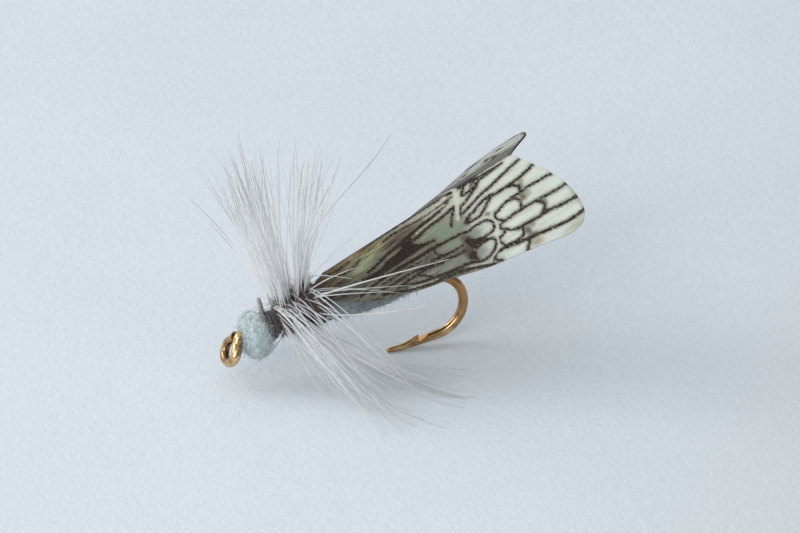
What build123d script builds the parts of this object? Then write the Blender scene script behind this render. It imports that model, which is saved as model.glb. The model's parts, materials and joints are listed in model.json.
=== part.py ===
from build123d import *
import math
import os

# Dry fly: a dubbed, down-wing caddis pattern on one light-wire hook.
# Millimetres. +X runs from the eye to the tail, +Z is up, and the hook lies in the plane Y = 0.
# The origin is the centre of the hook's eye. The fly stands as it does on a table, on its
# hook point and on the tips of its lower hackle barbs.

# ---- hook ----
WIRE = 0.54  # wire diameter of the shank and the bend
EYE_WIRE = 0.51  # wire diameter where it is rolled into the eye
EYE_RING = 1.41  # mean diameter of the eye's ring
EYE_HOLE = 0.92  # bore of the eye, a short flat land on the inside of the ring
EYE_LIFT = 24.0  # how far the eye's axis points above the horizontal, looking forward
NECK_RADIUS = 0.34  # bend between the shank and the eye
NECK_END = 1.2  # the wire reaches its full diameter here
SHANK_PITCH = 6.5  # the shank rises towards the tail
SHANK_Z = 0.78  # height of the shank's line above the eye's centre
BEND_RADIUS = 1.84
BEND_X = 11.62  # centre of the bend
SPEAR_DROP = 12.0  # slope of the spear where it leaves the bend
SPEAR_RADIUS = 22.0  # the spear curves in gently towards the point
SPEAR_SECTIONS = [  # distance from the bend, wire radius, how far the centre sinks
    (0.0, 0.270, 0.0),
    (1.1, 0.215, 0.015),
    (1.7, 0.195, 0.030),
    (2.4, 0.165, 0.035),
    (2.9, 0.125, 0.030),
    (3.08, 0.060, 0.040),
]
BARB_AT = 1.22  # the hook's barb stands here along the spear
BARB_LENGTH = 0.75
BARB_HEIGHT = 0.22  # above the spear's surface
BARB_WIDTH = 0.22
BARB_OVERHANG = 0.06  # the barb's rear face leans back by this much at its foot
BARB_TOE = (0.10, -0.05)  # heights of the barb's front edge above the spear's centre line
TAG_LENGTH = 0.36  # straight end of the wire, beside the neck
TAG_SIDE = 0.40  # sideways start of that end on the ring
TAG_HEIGHT = 0.80  # height of that start, as a share of the ring's radius
TAG_LEAN = 0.35  # sideways lean of that end towards the neck
CORNER_RUN = 0.5  # straight wire between the neck's bend and the shank

# ---- thread ----
THREAD = 0.08  # thickness of one layer of thread
PLAY = 0.005  # gap between pieces that are wound on one another
BASE_START, BASE_END = 0.95, 10.6  # thread base along the shank
WHIP_START, WHIP_END = 0.66, 0.90  # turns that finish the fly, behind the eye
COLLAR_START, COLLAR_END = 1.66, 2.50
COLLAR_RADIUS = 0.80
COLLAR_SHARES = (0.90, 1.0, 0.97, 0.88)  # of its radius, from front to rear
LASH_START, LASH_END = 3.30, 3.75  # turns that hold down the neck of the wing
LASH_HALF_WIDTH, LASH_HALF_HEIGHT, LASH_LIFT = 0.60, 0.81, 0.36

# ---- dubbing ----
HEAD_X = 1.38
HEAD_HALF_LENGTH = 0.84
HEAD_RADIUS = 1.27
HEAD_SAG = 0.32  # the ball hangs a little below the shank
HEAD_GAP = 0.02  # between the head and the collar
# the thorax is a cone over the neck of the wing: X, lift of its axis above the shank, radius
THORAX_FRONT = (2.58, 0.23, 0.84)
THORAX_REAR = (5.20, 0.72, 1.32)
# the cone's ends are rounded: share of its length, share of its radius there
THORAX_OUTLINE = [(0.0, 0.86), (0.08, 0.99), (0.35, 1.0), (0.65, 1.0), (0.92, 0.99), (1.0, 0.88)]
FILM_ROOM = 1.3  # slot for the wing through the thorax, as a share of the film's thickness
BODY_START, BODY_END = 5.42, 10.70
BODY_RADIUS = 0.73
BODY_SHARES = (0.62, 0.92, 1.0, 1.0, 0.98, 0.92, 0.78, 0.50)  # of its radius, from front to rear

# ---- hackle ----
STEM = 0.13  # diameter of the feather's stem
STEM_TURNS = 5
STEM_PITCH = 0.46
STEM_START = 0.12  # of the winding, along the thorax
STEM_GAP = 0.04  # between the thorax and the winding
BARB_ROOT, BARB_TIP = 0.055, 0.018  # radii of one barb
BARB_GAP = 0.06  # between a barb's root and the stem under it
STUB_X, STUB_LENGTH, STUB_RADIUS = 1.90, 0.85, 0.12  # trimmed end of the stem
STUB_CLOCK = -13.0
STUB_GAP = 0.02  # between the stub and the collar
# standing barbs, by turn of the winding: forward lean in degrees and length
UPPER_TURNS = [(0.4, 16.0, 9.2), (1.6, 8.0, 9.0), (2.9, 0.0, 8.8), (4.2, -8.0, 8.4)]
UPPER_CLOCKS = [-96.0, -62.0, -34.0, -10.0, 14.0, 38.0, 66.0, 98.0]
UPPER_STAGGER = 5.0  # each turn's barbs are set over by this many degrees
# barbs that the fly stands on: turn of the winding, then X and Y of the tip on the table
LOWER_TIPS = [
    (0.3, 0.9, -1.2),
    (0.6, 2.0, -4.6),
    (1.3, 4.8, -4.6),
    (2.0, 6.7, -7.4),
    (3.0, 8.7, -6.9),
    (4.1, 10.4, -6.2),
    (0.8, 2.4, 4.4),
    (1.5, 4.9, 5.2),
    (2.3, 7.0, 7.2),
    (3.2, 8.9, 6.2),
    (4.3, 10.1, 5.0),
]

# ---- wing ----
FILM = 0.10
RIDGE_RISE = 25.24  # slope of the ridge
RIDGE_TAIL = (16.17, 8.76)  # X and Z of the ridge's rear end
ROOF_REAR, ROOF_FRONT = 28.5, 52.0  # slope of each half at the two ends of the ridge
RIDGE_LENGTH = 12.0
# distance along the ridge from its rear end, then inner and outer edge of one half, across it
WING_STATIONS = [
    (-12.0, 0.0, 1.80),
    (-11.5, 0.0, 2.25),
    (-10.6, 0.0, 2.80),
    (-9.7, 0.0, 3.20),
    (-8.0, 0.0, 3.76),
    (-6.4, 0.0, 4.22),
    (-3.9, 0.0, 4.95),
    (-0.6, 0.0, 5.70),
    (0.0, 0.0, 5.84),
    (0.45, 0.80, 5.95),
    (1.1, 2.05, 5.65),
    (1.55, 2.95, 5.20),
    (1.72, 3.70, 4.60),
]
# the neck, forward of the ridge: X and Z of its ridge, half width, roof slope
NECK_STATIONS = [
    (4.75, 3.00, 0.95, 58.0),
    (3.95, 2.30, 0.46, 64.0),
    (3.20, 1.98, 0.36, 66.0),
]

THROUGH = 15.0  # longer than the fly, for cuts that pass all the way through

PITCH = math.radians(SHANK_PITCH)
ALONG = Vector(math.cos(PITCH), 0, math.sin(PITCH))  # along the shank, towards the tail
UPWARD = Vector(-math.sin(PITCH), 0, math.cos(PITCH))  # square to the shank
LIFT = math.radians(EYE_LIFT)
EYE_AXIS = Vector(-math.cos(LIFT), 0, math.sin(LIFT))
SIDEWAYS = Vector(0, 1, 0)
UNDER_WOOL = WIRE / 2 + THREAD + PLAY  # radius of the bore in everything wound over the thread base
RING_UP = Vector(math.sin(LIFT), 0, math.cos(LIFT))  # in the ring's plane, towards the shank


def on_shank(x, lift=0.0):
    """The point at x along the shank's line, moved square to it by lift."""
    return Vector(x, 0, SHANK_Z + x * math.tan(PITCH)) + UPWARD * lift


def shank_plane(x, lift=0.0):
    """A plane square to the shank, with its normal towards the tail and its X axis sideways."""
    return Plane(origin=on_shank(x, lift), x_dir=-SIDEWAYS, z_dir=ALONG)


def shank_length(start, end):
    """Distance along the shank between two values of X."""
    return (on_shank(end) - on_shank(start)).length


def shank_room(radius):
    """Room for the shank and what is wound on it, along the whole fly."""
    middle = shank_plane(BEND_X / 2)
    return extrude(middle * Circle(radius), amount=THROUGH / 2, both=True)


def sleeve(start, end):
    """One layer of thread round the shank."""
    ring = Circle(WIRE / 2 + THREAD) - Circle(WIRE / 2 + PLAY)
    return extrude(shank_plane(start) * ring, amount=shank_length(start, end))


def barrel(start, end, radii):
    """A body of revolution round the shank, with radii from front to rear."""
    length = shank_length(start, end)
    step = length / (len(radii) - 1)
    outline = Spline(*[(radius, i * step) for i, radius in enumerate(radii)])
    ends = Polyline(outline @ 1, (0, length), (0, 0), outline @ 0)
    profile = make_face(outline + ends)
    plane = Plane(origin=on_shank(start), x_dir=UPWARD, z_dir=UPWARD.cross(ALONG))
    solid = revolve(plane * profile, axis=Axis(on_shank(start), ALONG))
    return solid - shank_room(UNDER_WOOL)


# ---------------------------------------------------------------- hook


def bend_centre():
    """Centre of the bend's arc, in the hook's plane."""
    return on_shank(BEND_X - BEND_RADIUS * math.sin(PITCH), -BEND_RADIUS)


def spear_frame(distance):
    """The spear's centre line at a distance from the bend: (point, direction, upward)."""
    start = math.radians(SPEAR_DROP)
    turn = start - distance / SPEAR_RADIUS
    bottom = Vector(math.sin(start), 0, -math.cos(start)) * BEND_RADIUS
    centre = bend_centre() + bottom + Vector(-math.sin(start), 0, math.cos(start)) * SPEAR_RADIUS
    point = centre + Vector(math.sin(turn), 0, -math.cos(turn)) * SPEAR_RADIUS
    return (
        point,
        Vector(-math.cos(turn), 0, -math.sin(turn)),
        Vector(-math.sin(turn), 0, math.cos(turn)),
    )


def hook_eye():
    """The ring of the eye with its bore, the neck that carries it and the cut end beside it."""
    ring_plane = Plane(origin=(0, 0, 0), x_dir=RING_UP, z_dir=EYE_AXIS)
    ring = ring_plane * Torus(EYE_RING / 2, EYE_WIRE / 2)
    top = RING_UP * (EYE_RING / 2)
    # the corner where the ring's plane meets the shank's line
    reach = SHANK_Z / (RING_UP.Z - RING_UP.X * math.tan(PITCH))
    corner = RING_UP * reach
    end = on_shank(corner.X + CORNER_RUN)
    path = FilletPolyline(top, corner, end, radius=NECK_RADIUS)
    neck = sweep(Plane(origin=top, z_dir=RING_UP) * Circle(EYE_WIRE / 2), path=path)
    taper = shank_length(end.X, NECK_END)
    cone = Plane(origin=end + ALONG * (taper / 2), z_dir=ALONG) * Cone(EYE_WIRE / 2, WIRE / 2, taper)
    tag_start = RING_UP * (EYE_RING / 2 * TAG_HEIGHT) + SIDEWAYS * TAG_SIDE
    tag_way = (RING_UP - SIDEWAYS * TAG_LEAN).normalized()
    tag = extrude(Plane(origin=tag_start, z_dir=tag_way) * Circle(EYE_WIRE / 2), amount=TAG_LENGTH)
    eye = ring + neck + cone + tag
    hole = extrude(ring_plane * Circle(EYE_HOLE / 2), amount=EYE_WIRE, both=True)
    return eye - hole


def hook_spear():
    """The tapering spear and the barb cut up from it."""
    sections = []
    for distance, radius, sink in SPEAR_SECTIONS:
        point, way, up = spear_frame(distance)
        sections.append(Plane(origin=point - up * sink, x_dir=(0, 1, 0), z_dir=way) * Circle(radius))
    spear = loft(sections)
    root, way, up = spear_frame(BARB_AT)
    top = root + up * (SPEAR_SECTIONS[1][1] + BARB_HEIGHT)
    foot = root - way * BARB_OVERHANG
    toe = root + way * BARB_LENGTH
    outline = Polyline(foot, top, toe + up * BARB_TOE[0], toe + up * BARB_TOE[1], close=True)
    tooth = extrude(make_face(outline), amount=BARB_WIDTH / 2, dir=SIDEWAYS, both=True)
    return spear + tooth


def hook():
    """One wire: eye, straight shank, round bend, spear, barb and point."""
    start = on_shank(NECK_END)
    centre = bend_centre()
    tangent = centre + UPWARD * BEND_RADIUS
    last = math.radians(SPEAR_DROP)
    finish = centre + Vector(math.sin(last), 0, -math.cos(last)) * BEND_RADIUS
    middle = centre + Vector(BEND_RADIUS, 0, 0)
    path = Line(start, tangent) + ThreePointArc(tangent, middle, finish)
    wire = sweep(Plane(origin=start, z_dir=ALONG) * Circle(WIRE / 2), path=path)
    return hook_eye() + wire + hook_spear()


# ---------------------------------------------------------------- thread and dubbing


def thread_base():
    """The layer of thread wound along the shank, under everything else."""
    return sleeve(BASE_START, BASE_END)


def whip_finish():
    """The last turns of thread, between the eye and the head."""
    return sleeve(WHIP_START, WHIP_END)


def thread_collar():
    """Turns of dark thread behind the head, where the hackle is tied off."""
    return barrel(COLLAR_START, COLLAR_END, [COLLAR_RADIUS * share for share in COLLAR_SHARES])


def wing_lashing():
    """Turns of thread round the neck of the wing and the shank."""
    outer = Ellipse(LASH_HALF_WIDTH, LASH_HALF_HEIGHT)
    inner = Ellipse(LASH_HALF_WIDTH - THREAD, LASH_HALF_HEIGHT - THREAD)
    ring = shank_plane(LASH_START, LASH_LIFT) * (outer - inner)
    return extrude(ring, amount=shank_length(LASH_START, LASH_END))


def body_dubbing():
    """The dubbed body, behind the thorax and under the wing."""
    return barrel(BODY_START, BODY_END, [BODY_RADIUS * share for share in BODY_SHARES])


def turned(front, way, outline):
    """A solid of revolution: outline is (distance along the axis, radius) from front to rear."""
    side = SIDEWAYS.cross(way)
    curve = Spline(*[(radius, distance) for distance, radius in outline])
    ends = Polyline(curve @ 1, (0, outline[-1][0]), (0, outline[0][0]), curve @ 0)
    profile = Plane(origin=front, x_dir=-side, z_dir=SIDEWAYS) * make_face(curve + ends)
    return revolve(profile, axis=Axis(front, way))


def head_dubbing():
    """The ball of dubbing at the head, pressed against the front of the collar."""
    half_plane = Pos(HEAD_RADIUS, 0) * Rectangle(2 * HEAD_RADIUS, 4 * HEAD_HALF_LENGTH)
    half_ellipse = Ellipse(HEAD_RADIUS, HEAD_HALF_LENGTH) & half_plane
    centre = on_shank(HEAD_X, -HEAD_SAG)
    profile = Plane(origin=centre, x_dir=UPWARD, z_dir=SIDEWAYS) * half_ellipse
    ball = revolve(profile, axis=Axis(centre, ALONG))
    seat = shank_plane(COLLAR_START - HEAD_GAP) * Circle(COLLAR_RADIUS + HEAD_GAP)
    return ball - shank_room(UNDER_WOOL) - extrude(seat, amount=2 * HEAD_HALF_LENGTH)


def thorax_axis():
    """Front of the thorax's axis, its direction and its length."""
    front = on_shank(*THORAX_FRONT[:2])
    rear = on_shank(*THORAX_REAR[:2])
    return front, (rear - front).normalized(), (rear - front).length


def thorax_radius(distance):
    share = distance / thorax_axis()[2]
    return THORAX_FRONT[2] + (THORAX_REAR[2] - THORAX_FRONT[2]) * share


def thorax(wing_solid):
    """Dark dubbing over the neck of the wing, which passes through it."""
    front, way, length = thorax_axis()
    outline = [(length * s, thorax_radius(length * s) * share) for s, share in THORAX_OUTLINE]
    solid = turned(front, way, outline) - shank_room(UNDER_WOOL)
    start, end = LASH_START - THREAD / 2, LASH_END + THREAD / 2
    room = Ellipse(LASH_HALF_WIDTH + 2 * PLAY, LASH_HALF_HEIGHT + 2 * PLAY)
    solid -= extrude(shank_plane(start, LASH_LIFT) * room, amount=shank_length(start, end))
    return solid - wing_solid


# ---------------------------------------------------------------- wing


def roof_section(ridge, half_width, slope, film, inner=0.0, sides=(-1, 1)):
    """Cross-section of the folded film, square to the ridge. One side alone gives one lobe."""
    tilt = math.radians(RIDGE_RISE)
    way = (math.cos(tilt), 0, math.sin(tilt))
    plane = Plane(origin=(ridge[0], 0, ridge[1]), x_dir=SIDEWAYS, z_dir=way)
    fall = math.radians(slope)
    over = film / math.cos(fall)

    def place(side, across, drop):
        return (side * across * math.cos(fall), -across * math.sin(fall) - drop)

    if len(sides) == 2:
        points = [place(-1, half_width, 0), (0, 0), place(1, half_width, 0)]
        points += [place(1, half_width, over), (0, -over), place(-1, half_width, over)]
    else:
        side = sides[0]
        points = [place(side, inner, 0), place(side, half_width, 0)]
        points += [place(side, half_width, over), place(side, inner, over)]
    return plane * make_face(Polyline(*points, close=True))


def ridge_point(along):
    tilt = math.radians(RIDGE_RISE)
    return (RIDGE_TAIL[0] + along * math.cos(tilt), RIDGE_TAIL[1] + along * math.sin(tilt))


def roof_slope(along):
    """Each half is flatter at the rear than at the front."""
    share = max(-along / RIDGE_LENGTH, 0.0)
    return ROOF_REAR + (ROOF_FRONT - ROOF_REAR) * share**1.5


def wing(film=FILM):
    """One printed film, folded along its ridge, with a narrow neck in front and two lobes behind."""
    neck = [roof_section((x, z), half, slope, film) for x, z, half, slope in reversed(NECK_STATIONS)]
    roof = [s for s in WING_STATIONS if s[0] <= 0]
    halves = [roof_section(ridge_point(a), outer, roof_slope(a), film) for a, _, outer in roof]
    solid = loft(neck + halves, ruled=True)
    lobes = [s for s in WING_STATIONS if s[0] >= 0]
    for side in (-1, 1):
        pieces = [
            roof_section(ridge_point(a), outer, roof_slope(a), film, inner, (side,))
            for a, inner, outer in lobes
        ]
        solid += loft(pieces, ruled=True)
    return solid


# ---------------------------------------------------------------- hackle


def hackle_stem():
    """The feather's stem, wound round the thorax in open turns."""
    front, way, _ = thorax_axis()
    height = STEM_TURNS * STEM_PITCH
    radius = thorax_radius(STEM_START) + STEM / 2 + STEM_GAP
    grow = thorax_radius(STEM_START + height) - thorax_radius(STEM_START)
    angle = math.degrees(math.atan2(grow, height))
    turns = Helix(pitch=STEM_PITCH, height=height, radius=radius, cone_angle=angle)
    section = Plane(origin=turns @ 0, z_dir=turns % 0) * Circle(STEM / 2)
    coil = sweep(section, path=turns, is_frenet=True)
    return Plane(origin=front + way * STEM_START, x_dir=-SIDEWAYS, z_dir=way) * coil


def outward(way, clock):
    """A direction square to an axis: clock 0 is up and 90 is towards -Y."""
    angle = math.radians(clock)
    return way.cross(SIDEWAYS) * math.cos(angle) - SIDEWAYS * math.sin(angle)


def barb_root(turn, clock):
    """Where a barb leaves the winding."""
    front, way, _ = thorax_axis()
    distance = STEM_START + turn * STEM_PITCH
    radius = thorax_radius(distance) + STEM_GAP + STEM + BARB_GAP
    return front + way * distance + outward(way, clock) * radius


def barb(root, tip):
    """One barb, as a slender cone."""
    way = tip - root
    return Plane(origin=(root + tip) / 2, z_dir=way) * Cone(BARB_ROOT, BARB_TIP, way.length)


def upper_barbs():
    """Barbs that fan out above and beside the thorax."""
    _, way, _ = thorax_axis()
    barbs = []
    for row, (turn, lean, length) in enumerate(UPPER_TURNS):
        for clock in UPPER_CLOCKS:
            spread = clock + UPPER_STAGGER * row
            root = barb_root(turn, spread)
            lean_angle = math.radians(lean)
            aim = outward(way, spread) * math.cos(lean_angle) - way * math.sin(lean_angle)
            barbs.append(barb(root, root + aim * length))
    return Compound(children=barbs)


def lower_barbs(floor):
    """Barbs that sweep back and down to the table."""
    front, way, _ = thorax_axis()
    barbs = []
    for turn, x, y in LOWER_TIPS:
        tip = Vector(x, y, floor + BARB_TIP)
        centre = front + way * (STEM_START + turn * STEM_PITCH)
        across = tip - centre
        up = outward(way, 0.0)
        clock = math.degrees(math.atan2(-across.Y, across.dot(up)))
        barbs.append(barb(barb_root(turn, clock), tip))
    return Compound(children=barbs)


def hackle_stub():
    """The trimmed end of the feather's stem, standing out of the collar."""
    aim = outward(ALONG, STUB_CLOCK)
    root = on_shank(STUB_X) + aim * (COLLAR_RADIUS + STUB_GAP)
    return extrude(Plane(origin=root, z_dir=aim) * Circle(STUB_RADIUS), amount=STUB_LENGTH)


def main():
    os.makedirs("parts", exist_ok=True)
    wing_solid = wing()
    wire = hook()
    floor = wire.bounding_box().min.Z
    nodes = {
        "hook": wire,
        "thread_base": thread_base(),
        "whip_finish": whip_finish(),
        "thread_collar": thread_collar(),
        "wing_lashing": wing_lashing(),
        "head_dubbing": head_dubbing(),
        "body_dubbing": body_dubbing(),
        "wing": wing_solid,
        "thorax_dubbing": thorax(wing(FILM * FILM_ROOM)),
        "hackle_stem": hackle_stem(),
        "hackle_stub": hackle_stub(),
        "hackle_upper_barbs": upper_barbs(),
        "hackle_lower_barbs": lower_barbs(floor),
    }
    for name, solid in nodes.items():
        export_step(solid, f"parts/{name}.step")
        box = solid.bounding_box()
        print(name, [round(v, 2) for v in (*box.min, *box.max)])


main()
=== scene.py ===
import json
import math

import bpy
import numpy as np
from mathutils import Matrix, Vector, noise

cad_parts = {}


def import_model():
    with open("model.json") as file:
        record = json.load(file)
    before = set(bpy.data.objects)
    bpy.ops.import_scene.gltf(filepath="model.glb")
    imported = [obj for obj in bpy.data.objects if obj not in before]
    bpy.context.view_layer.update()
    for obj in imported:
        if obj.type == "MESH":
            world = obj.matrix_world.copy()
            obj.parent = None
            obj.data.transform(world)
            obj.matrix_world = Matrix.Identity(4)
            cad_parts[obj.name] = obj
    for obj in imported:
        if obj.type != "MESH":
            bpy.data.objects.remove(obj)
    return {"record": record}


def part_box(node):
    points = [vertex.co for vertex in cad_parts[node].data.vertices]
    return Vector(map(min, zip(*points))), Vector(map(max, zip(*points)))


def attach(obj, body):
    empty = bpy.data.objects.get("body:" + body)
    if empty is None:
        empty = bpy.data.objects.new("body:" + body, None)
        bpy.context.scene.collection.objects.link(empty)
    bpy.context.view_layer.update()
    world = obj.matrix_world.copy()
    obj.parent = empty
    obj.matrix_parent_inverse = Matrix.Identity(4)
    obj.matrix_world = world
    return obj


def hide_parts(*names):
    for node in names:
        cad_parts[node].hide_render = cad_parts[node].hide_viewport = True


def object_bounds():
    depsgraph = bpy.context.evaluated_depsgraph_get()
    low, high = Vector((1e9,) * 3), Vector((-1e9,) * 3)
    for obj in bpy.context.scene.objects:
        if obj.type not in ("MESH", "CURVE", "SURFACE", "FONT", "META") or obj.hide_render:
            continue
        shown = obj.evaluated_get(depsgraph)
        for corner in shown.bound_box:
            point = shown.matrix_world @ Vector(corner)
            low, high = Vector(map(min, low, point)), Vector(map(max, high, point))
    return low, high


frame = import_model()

# Dry fly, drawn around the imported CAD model. Lengths are millimetres unless a comment says
# otherwise, and meshes are written in metres. +X runs from the eye to the tail and +Z is up.

MM = 0.001
TURN = 2 * math.pi
CAD_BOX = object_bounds()


def box_mm(node):
    """Lowest and highest corner of a CAD node, in millimetres."""
    low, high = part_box(node)
    return np.array(low) / MM, np.array(high) / MM


def middle(node):
    low, high = box_mm(node)
    return (low + high) / 2


# ---------------------------------------------------------------- the fly's own directions

X_AXIS, Y_AXIS, Z_AXIS = np.eye(3)
FLOOR = CAD_BOX[0].z / MM
EYE_MOUNT = frame["record"]["mounts"][0]
EYE = np.array(EYE_MOUNT["pos_m"], float) / MM
EYE_AXIS = np.array(EYE_MOUNT["axis"], float)
RING_UP = np.array((EYE_AXIS[2], 0, -EYE_AXIS[0]))
PITCH = math.radians(6.5)  # the shank rises towards the tail
ALONG = np.array((math.cos(PITCH), 0, math.sin(PITCH)))
UPWARD = np.array((-math.sin(PITCH), 0, math.cos(PITCH)))
SHANK_MIDDLE = middle("thread_base")
RNG = np.random.default_rng(20)


def unit(v):
    v = np.asarray(v, float)
    return v / np.maximum(np.linalg.norm(v, axis=-1, keepdims=True), 1e-12)


def circle(angle, up, side):
    """Directions round a circle: angle 0 is up, and a quarter turn is side."""
    angle = np.asarray(angle, float)[..., None]
    return up * np.cos(angle) + side * np.sin(angle)


def on_shank(x, lift=0.0):
    """The point at x on the shank's line, moved square to it by lift."""
    return SHANK_MIDDLE + ALONG * ((x - SHANK_MIDDLE[0]) / ALONG[0]) + UPWARD * lift


def smooth_path(points, step):
    """A Catmull-Rom curve through points, sampled about every step."""
    p = np.asarray(points, float)
    p = np.vstack([2 * p[0] - p[1], p, 2 * p[-1] - p[-2]])
    out = []
    for a, b, c, d in zip(p, p[1:], p[2:], p[3:]):
        count = max(2, int(round(np.linalg.norm(c - b) / step)))
        t = np.linspace(0, 1, count, endpoint=False)[:, None]
        square, cube = 2 * a - 5 * b + 4 * c - d, 3 * b - a - 3 * c + d
        out.append(0.5 * (2 * b + (c - a) * t + square * t**2 + cube * t**3))
    out.append(p[-2:-1])
    return np.vstack(out)


def bezier(p0, p1, p2, p3, steps):
    """Many cubic curves at once: four (count, 3) arrays give (count, steps, 3) points."""
    t = np.linspace(0, 1, steps)[None, :, None]
    p0, p1, p2, p3 = (np.asarray(p, float)[:, None, :] for p in (p0, p1, p2, p3))
    return p0 * (1 - t) ** 3 + 3 * p1 * t * (1 - t) ** 2 + 3 * p2 * t**2 * (1 - t) + p3 * t**3


def wool_noise(points, scale, octaves=3):
    """Fractal noise in -1..1 at each point."""
    roughness, lacunarity = 0.6, 2.1
    return np.array([
        noise.fractal(Vector(p) * scale, roughness, lacunarity, octaves, noise_basis="PERLIN_ORIGINAL")
        for p in points
    ])


# ---------------------------------------------------------------- mesh building


class Shape:
    """Points, faces and point values of one piece, gathered from several surfaces."""

    def __init__(self):
        self.points, self.faces, self.values, self.count = [], [], {}, 0

    def add(self, points, faces, **values):
        self.points.append(points)
        for block in faces:
            self.faces += (block + self.count).tolist()
        for name, value in values.items():
            value = np.broadcast_to(np.asarray(value, float), (len(points),) + np.shape(value)[1:])
            self.values.setdefault(name, []).append(value)
        self.count += len(points)

    def build(self, name, node, material):
        """Writes the mesh and its values, hangs the piece on the body and hides the CAD node that it
        replaces.
        """
        mesh = bpy.data.meshes.new(name)
        mesh.from_pydata((np.vstack(self.points) * MM).tolist(), [], self.faces)
        for key, blocks in self.values.items():
            value = np.concatenate(blocks)
            if value.ndim == 1:
                kind, field = "FLOAT", "value"
            elif key == "spot":
                kind, field = "FLOAT_VECTOR", "vector"
            else:
                kind, field = "FLOAT_COLOR", "color"
                value = np.hstack([value, np.ones((len(value), 1))]).astype(np.float32)
            mesh.attributes.new(key, kind, "POINT").data.foreach_set(field, value.ravel())
        mesh.update()
        mesh.shade_smooth()
        mesh.materials.append(material)
        piece = bpy.data.objects.new(name, mesh)
        bpy.context.scene.collection.objects.link(piece)
        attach(piece, "root")
        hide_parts(node)


def frames(paths):
    """Two side vectors along each path, carried without twist."""
    way = unit(np.gradient(paths, axis=1))
    side = np.zeros_like(paths)
    helper = np.where(np.abs(way[:, 0, 1:2]) < 0.8, Y_AXIS, X_AXIS)
    side[:, 0] = unit(np.cross(way[:, 0], helper))
    for i in range(1, paths.shape[1]):
        last = side[:, i - 1]
        side[:, i] = unit(last - way[:, i] * np.sum(last * way[:, i], axis=1, keepdims=True))
    return side, np.cross(way, side)


def ring_faces(count, rings, sides):
    """Quads and end triangles of count closed tubes whose points are laid out ring by ring."""
    i, j = np.meshgrid(np.arange(rings - 1), np.arange(sides), indexing="ij")
    k = (j + 1) % sides
    quads = np.stack([i * sides + j, i * sides + k, (i + 1) * sides + k, (i + 1) * sides + j], -1)
    j = np.arange(sides)
    k = (j + 1) % sides
    first, last = rings * sides, (rings - 1) * sides
    start = np.stack([np.full(sides, first), k, j], -1)
    end = np.stack([np.full(sides, first + 1), last + j, last + k], -1)
    shift = (np.arange(count) * (rings * sides + 2))[:, None, None]
    quads = (quads.reshape(1, -1, 4) + shift).reshape(-1, 4)
    triangles = (np.vstack([start, end])[None] + shift).reshape(-1, 3)
    return quads, triangles


def spread(values, sides):
    """One value for each step of each tube, repeated on all the points of the tubes."""
    values = np.asarray(values, float)
    around = np.repeat(values, sides, axis=1)
    return np.concatenate([around, values[:, :1], values[:, -1:]], axis=1).ravel()


def tubes(paths, radii, sides):
    """Round tubes along (count, steps, 3) paths, with (count, steps) radii."""
    paths = np.asarray(paths, float)
    radii = np.broadcast_to(np.asarray(radii, float), paths.shape[:2])
    side, up = frames(paths)
    angle = np.arange(sides) * TURN / sides
    ring = circle(angle, side[:, :, None], up[:, :, None])
    points = paths[:, :, None] + ring * radii[:, :, None, None]
    points = points.reshape(len(paths), -1, 3)
    points = np.concatenate([points, paths[:, :1], paths[:, -1:]], axis=1).reshape(-1, 3)
    return points, ring_faces(len(paths), paths.shape[1], sides)


def lathe(centres, radii, way, up, around):
    """A closed body of revolution: one ring of radius radii at each centre."""
    ring = circle(np.arange(around) * TURN / around, up, np.cross(way, up))
    points = centres[:, None] + ring[None] * radii[:, None, None]
    outward = np.broadcast_to(ring[None], points.shape).reshape(-1, 3)
    points = np.vstack([points.reshape(-1, 3), centres[:1], centres[-1:]])
    outward = np.vstack([outward, -way[None], way[None]])
    return points, outward, ring_faces(1, len(centres), around)


# ---------------------------------------------------------------- materials


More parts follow.
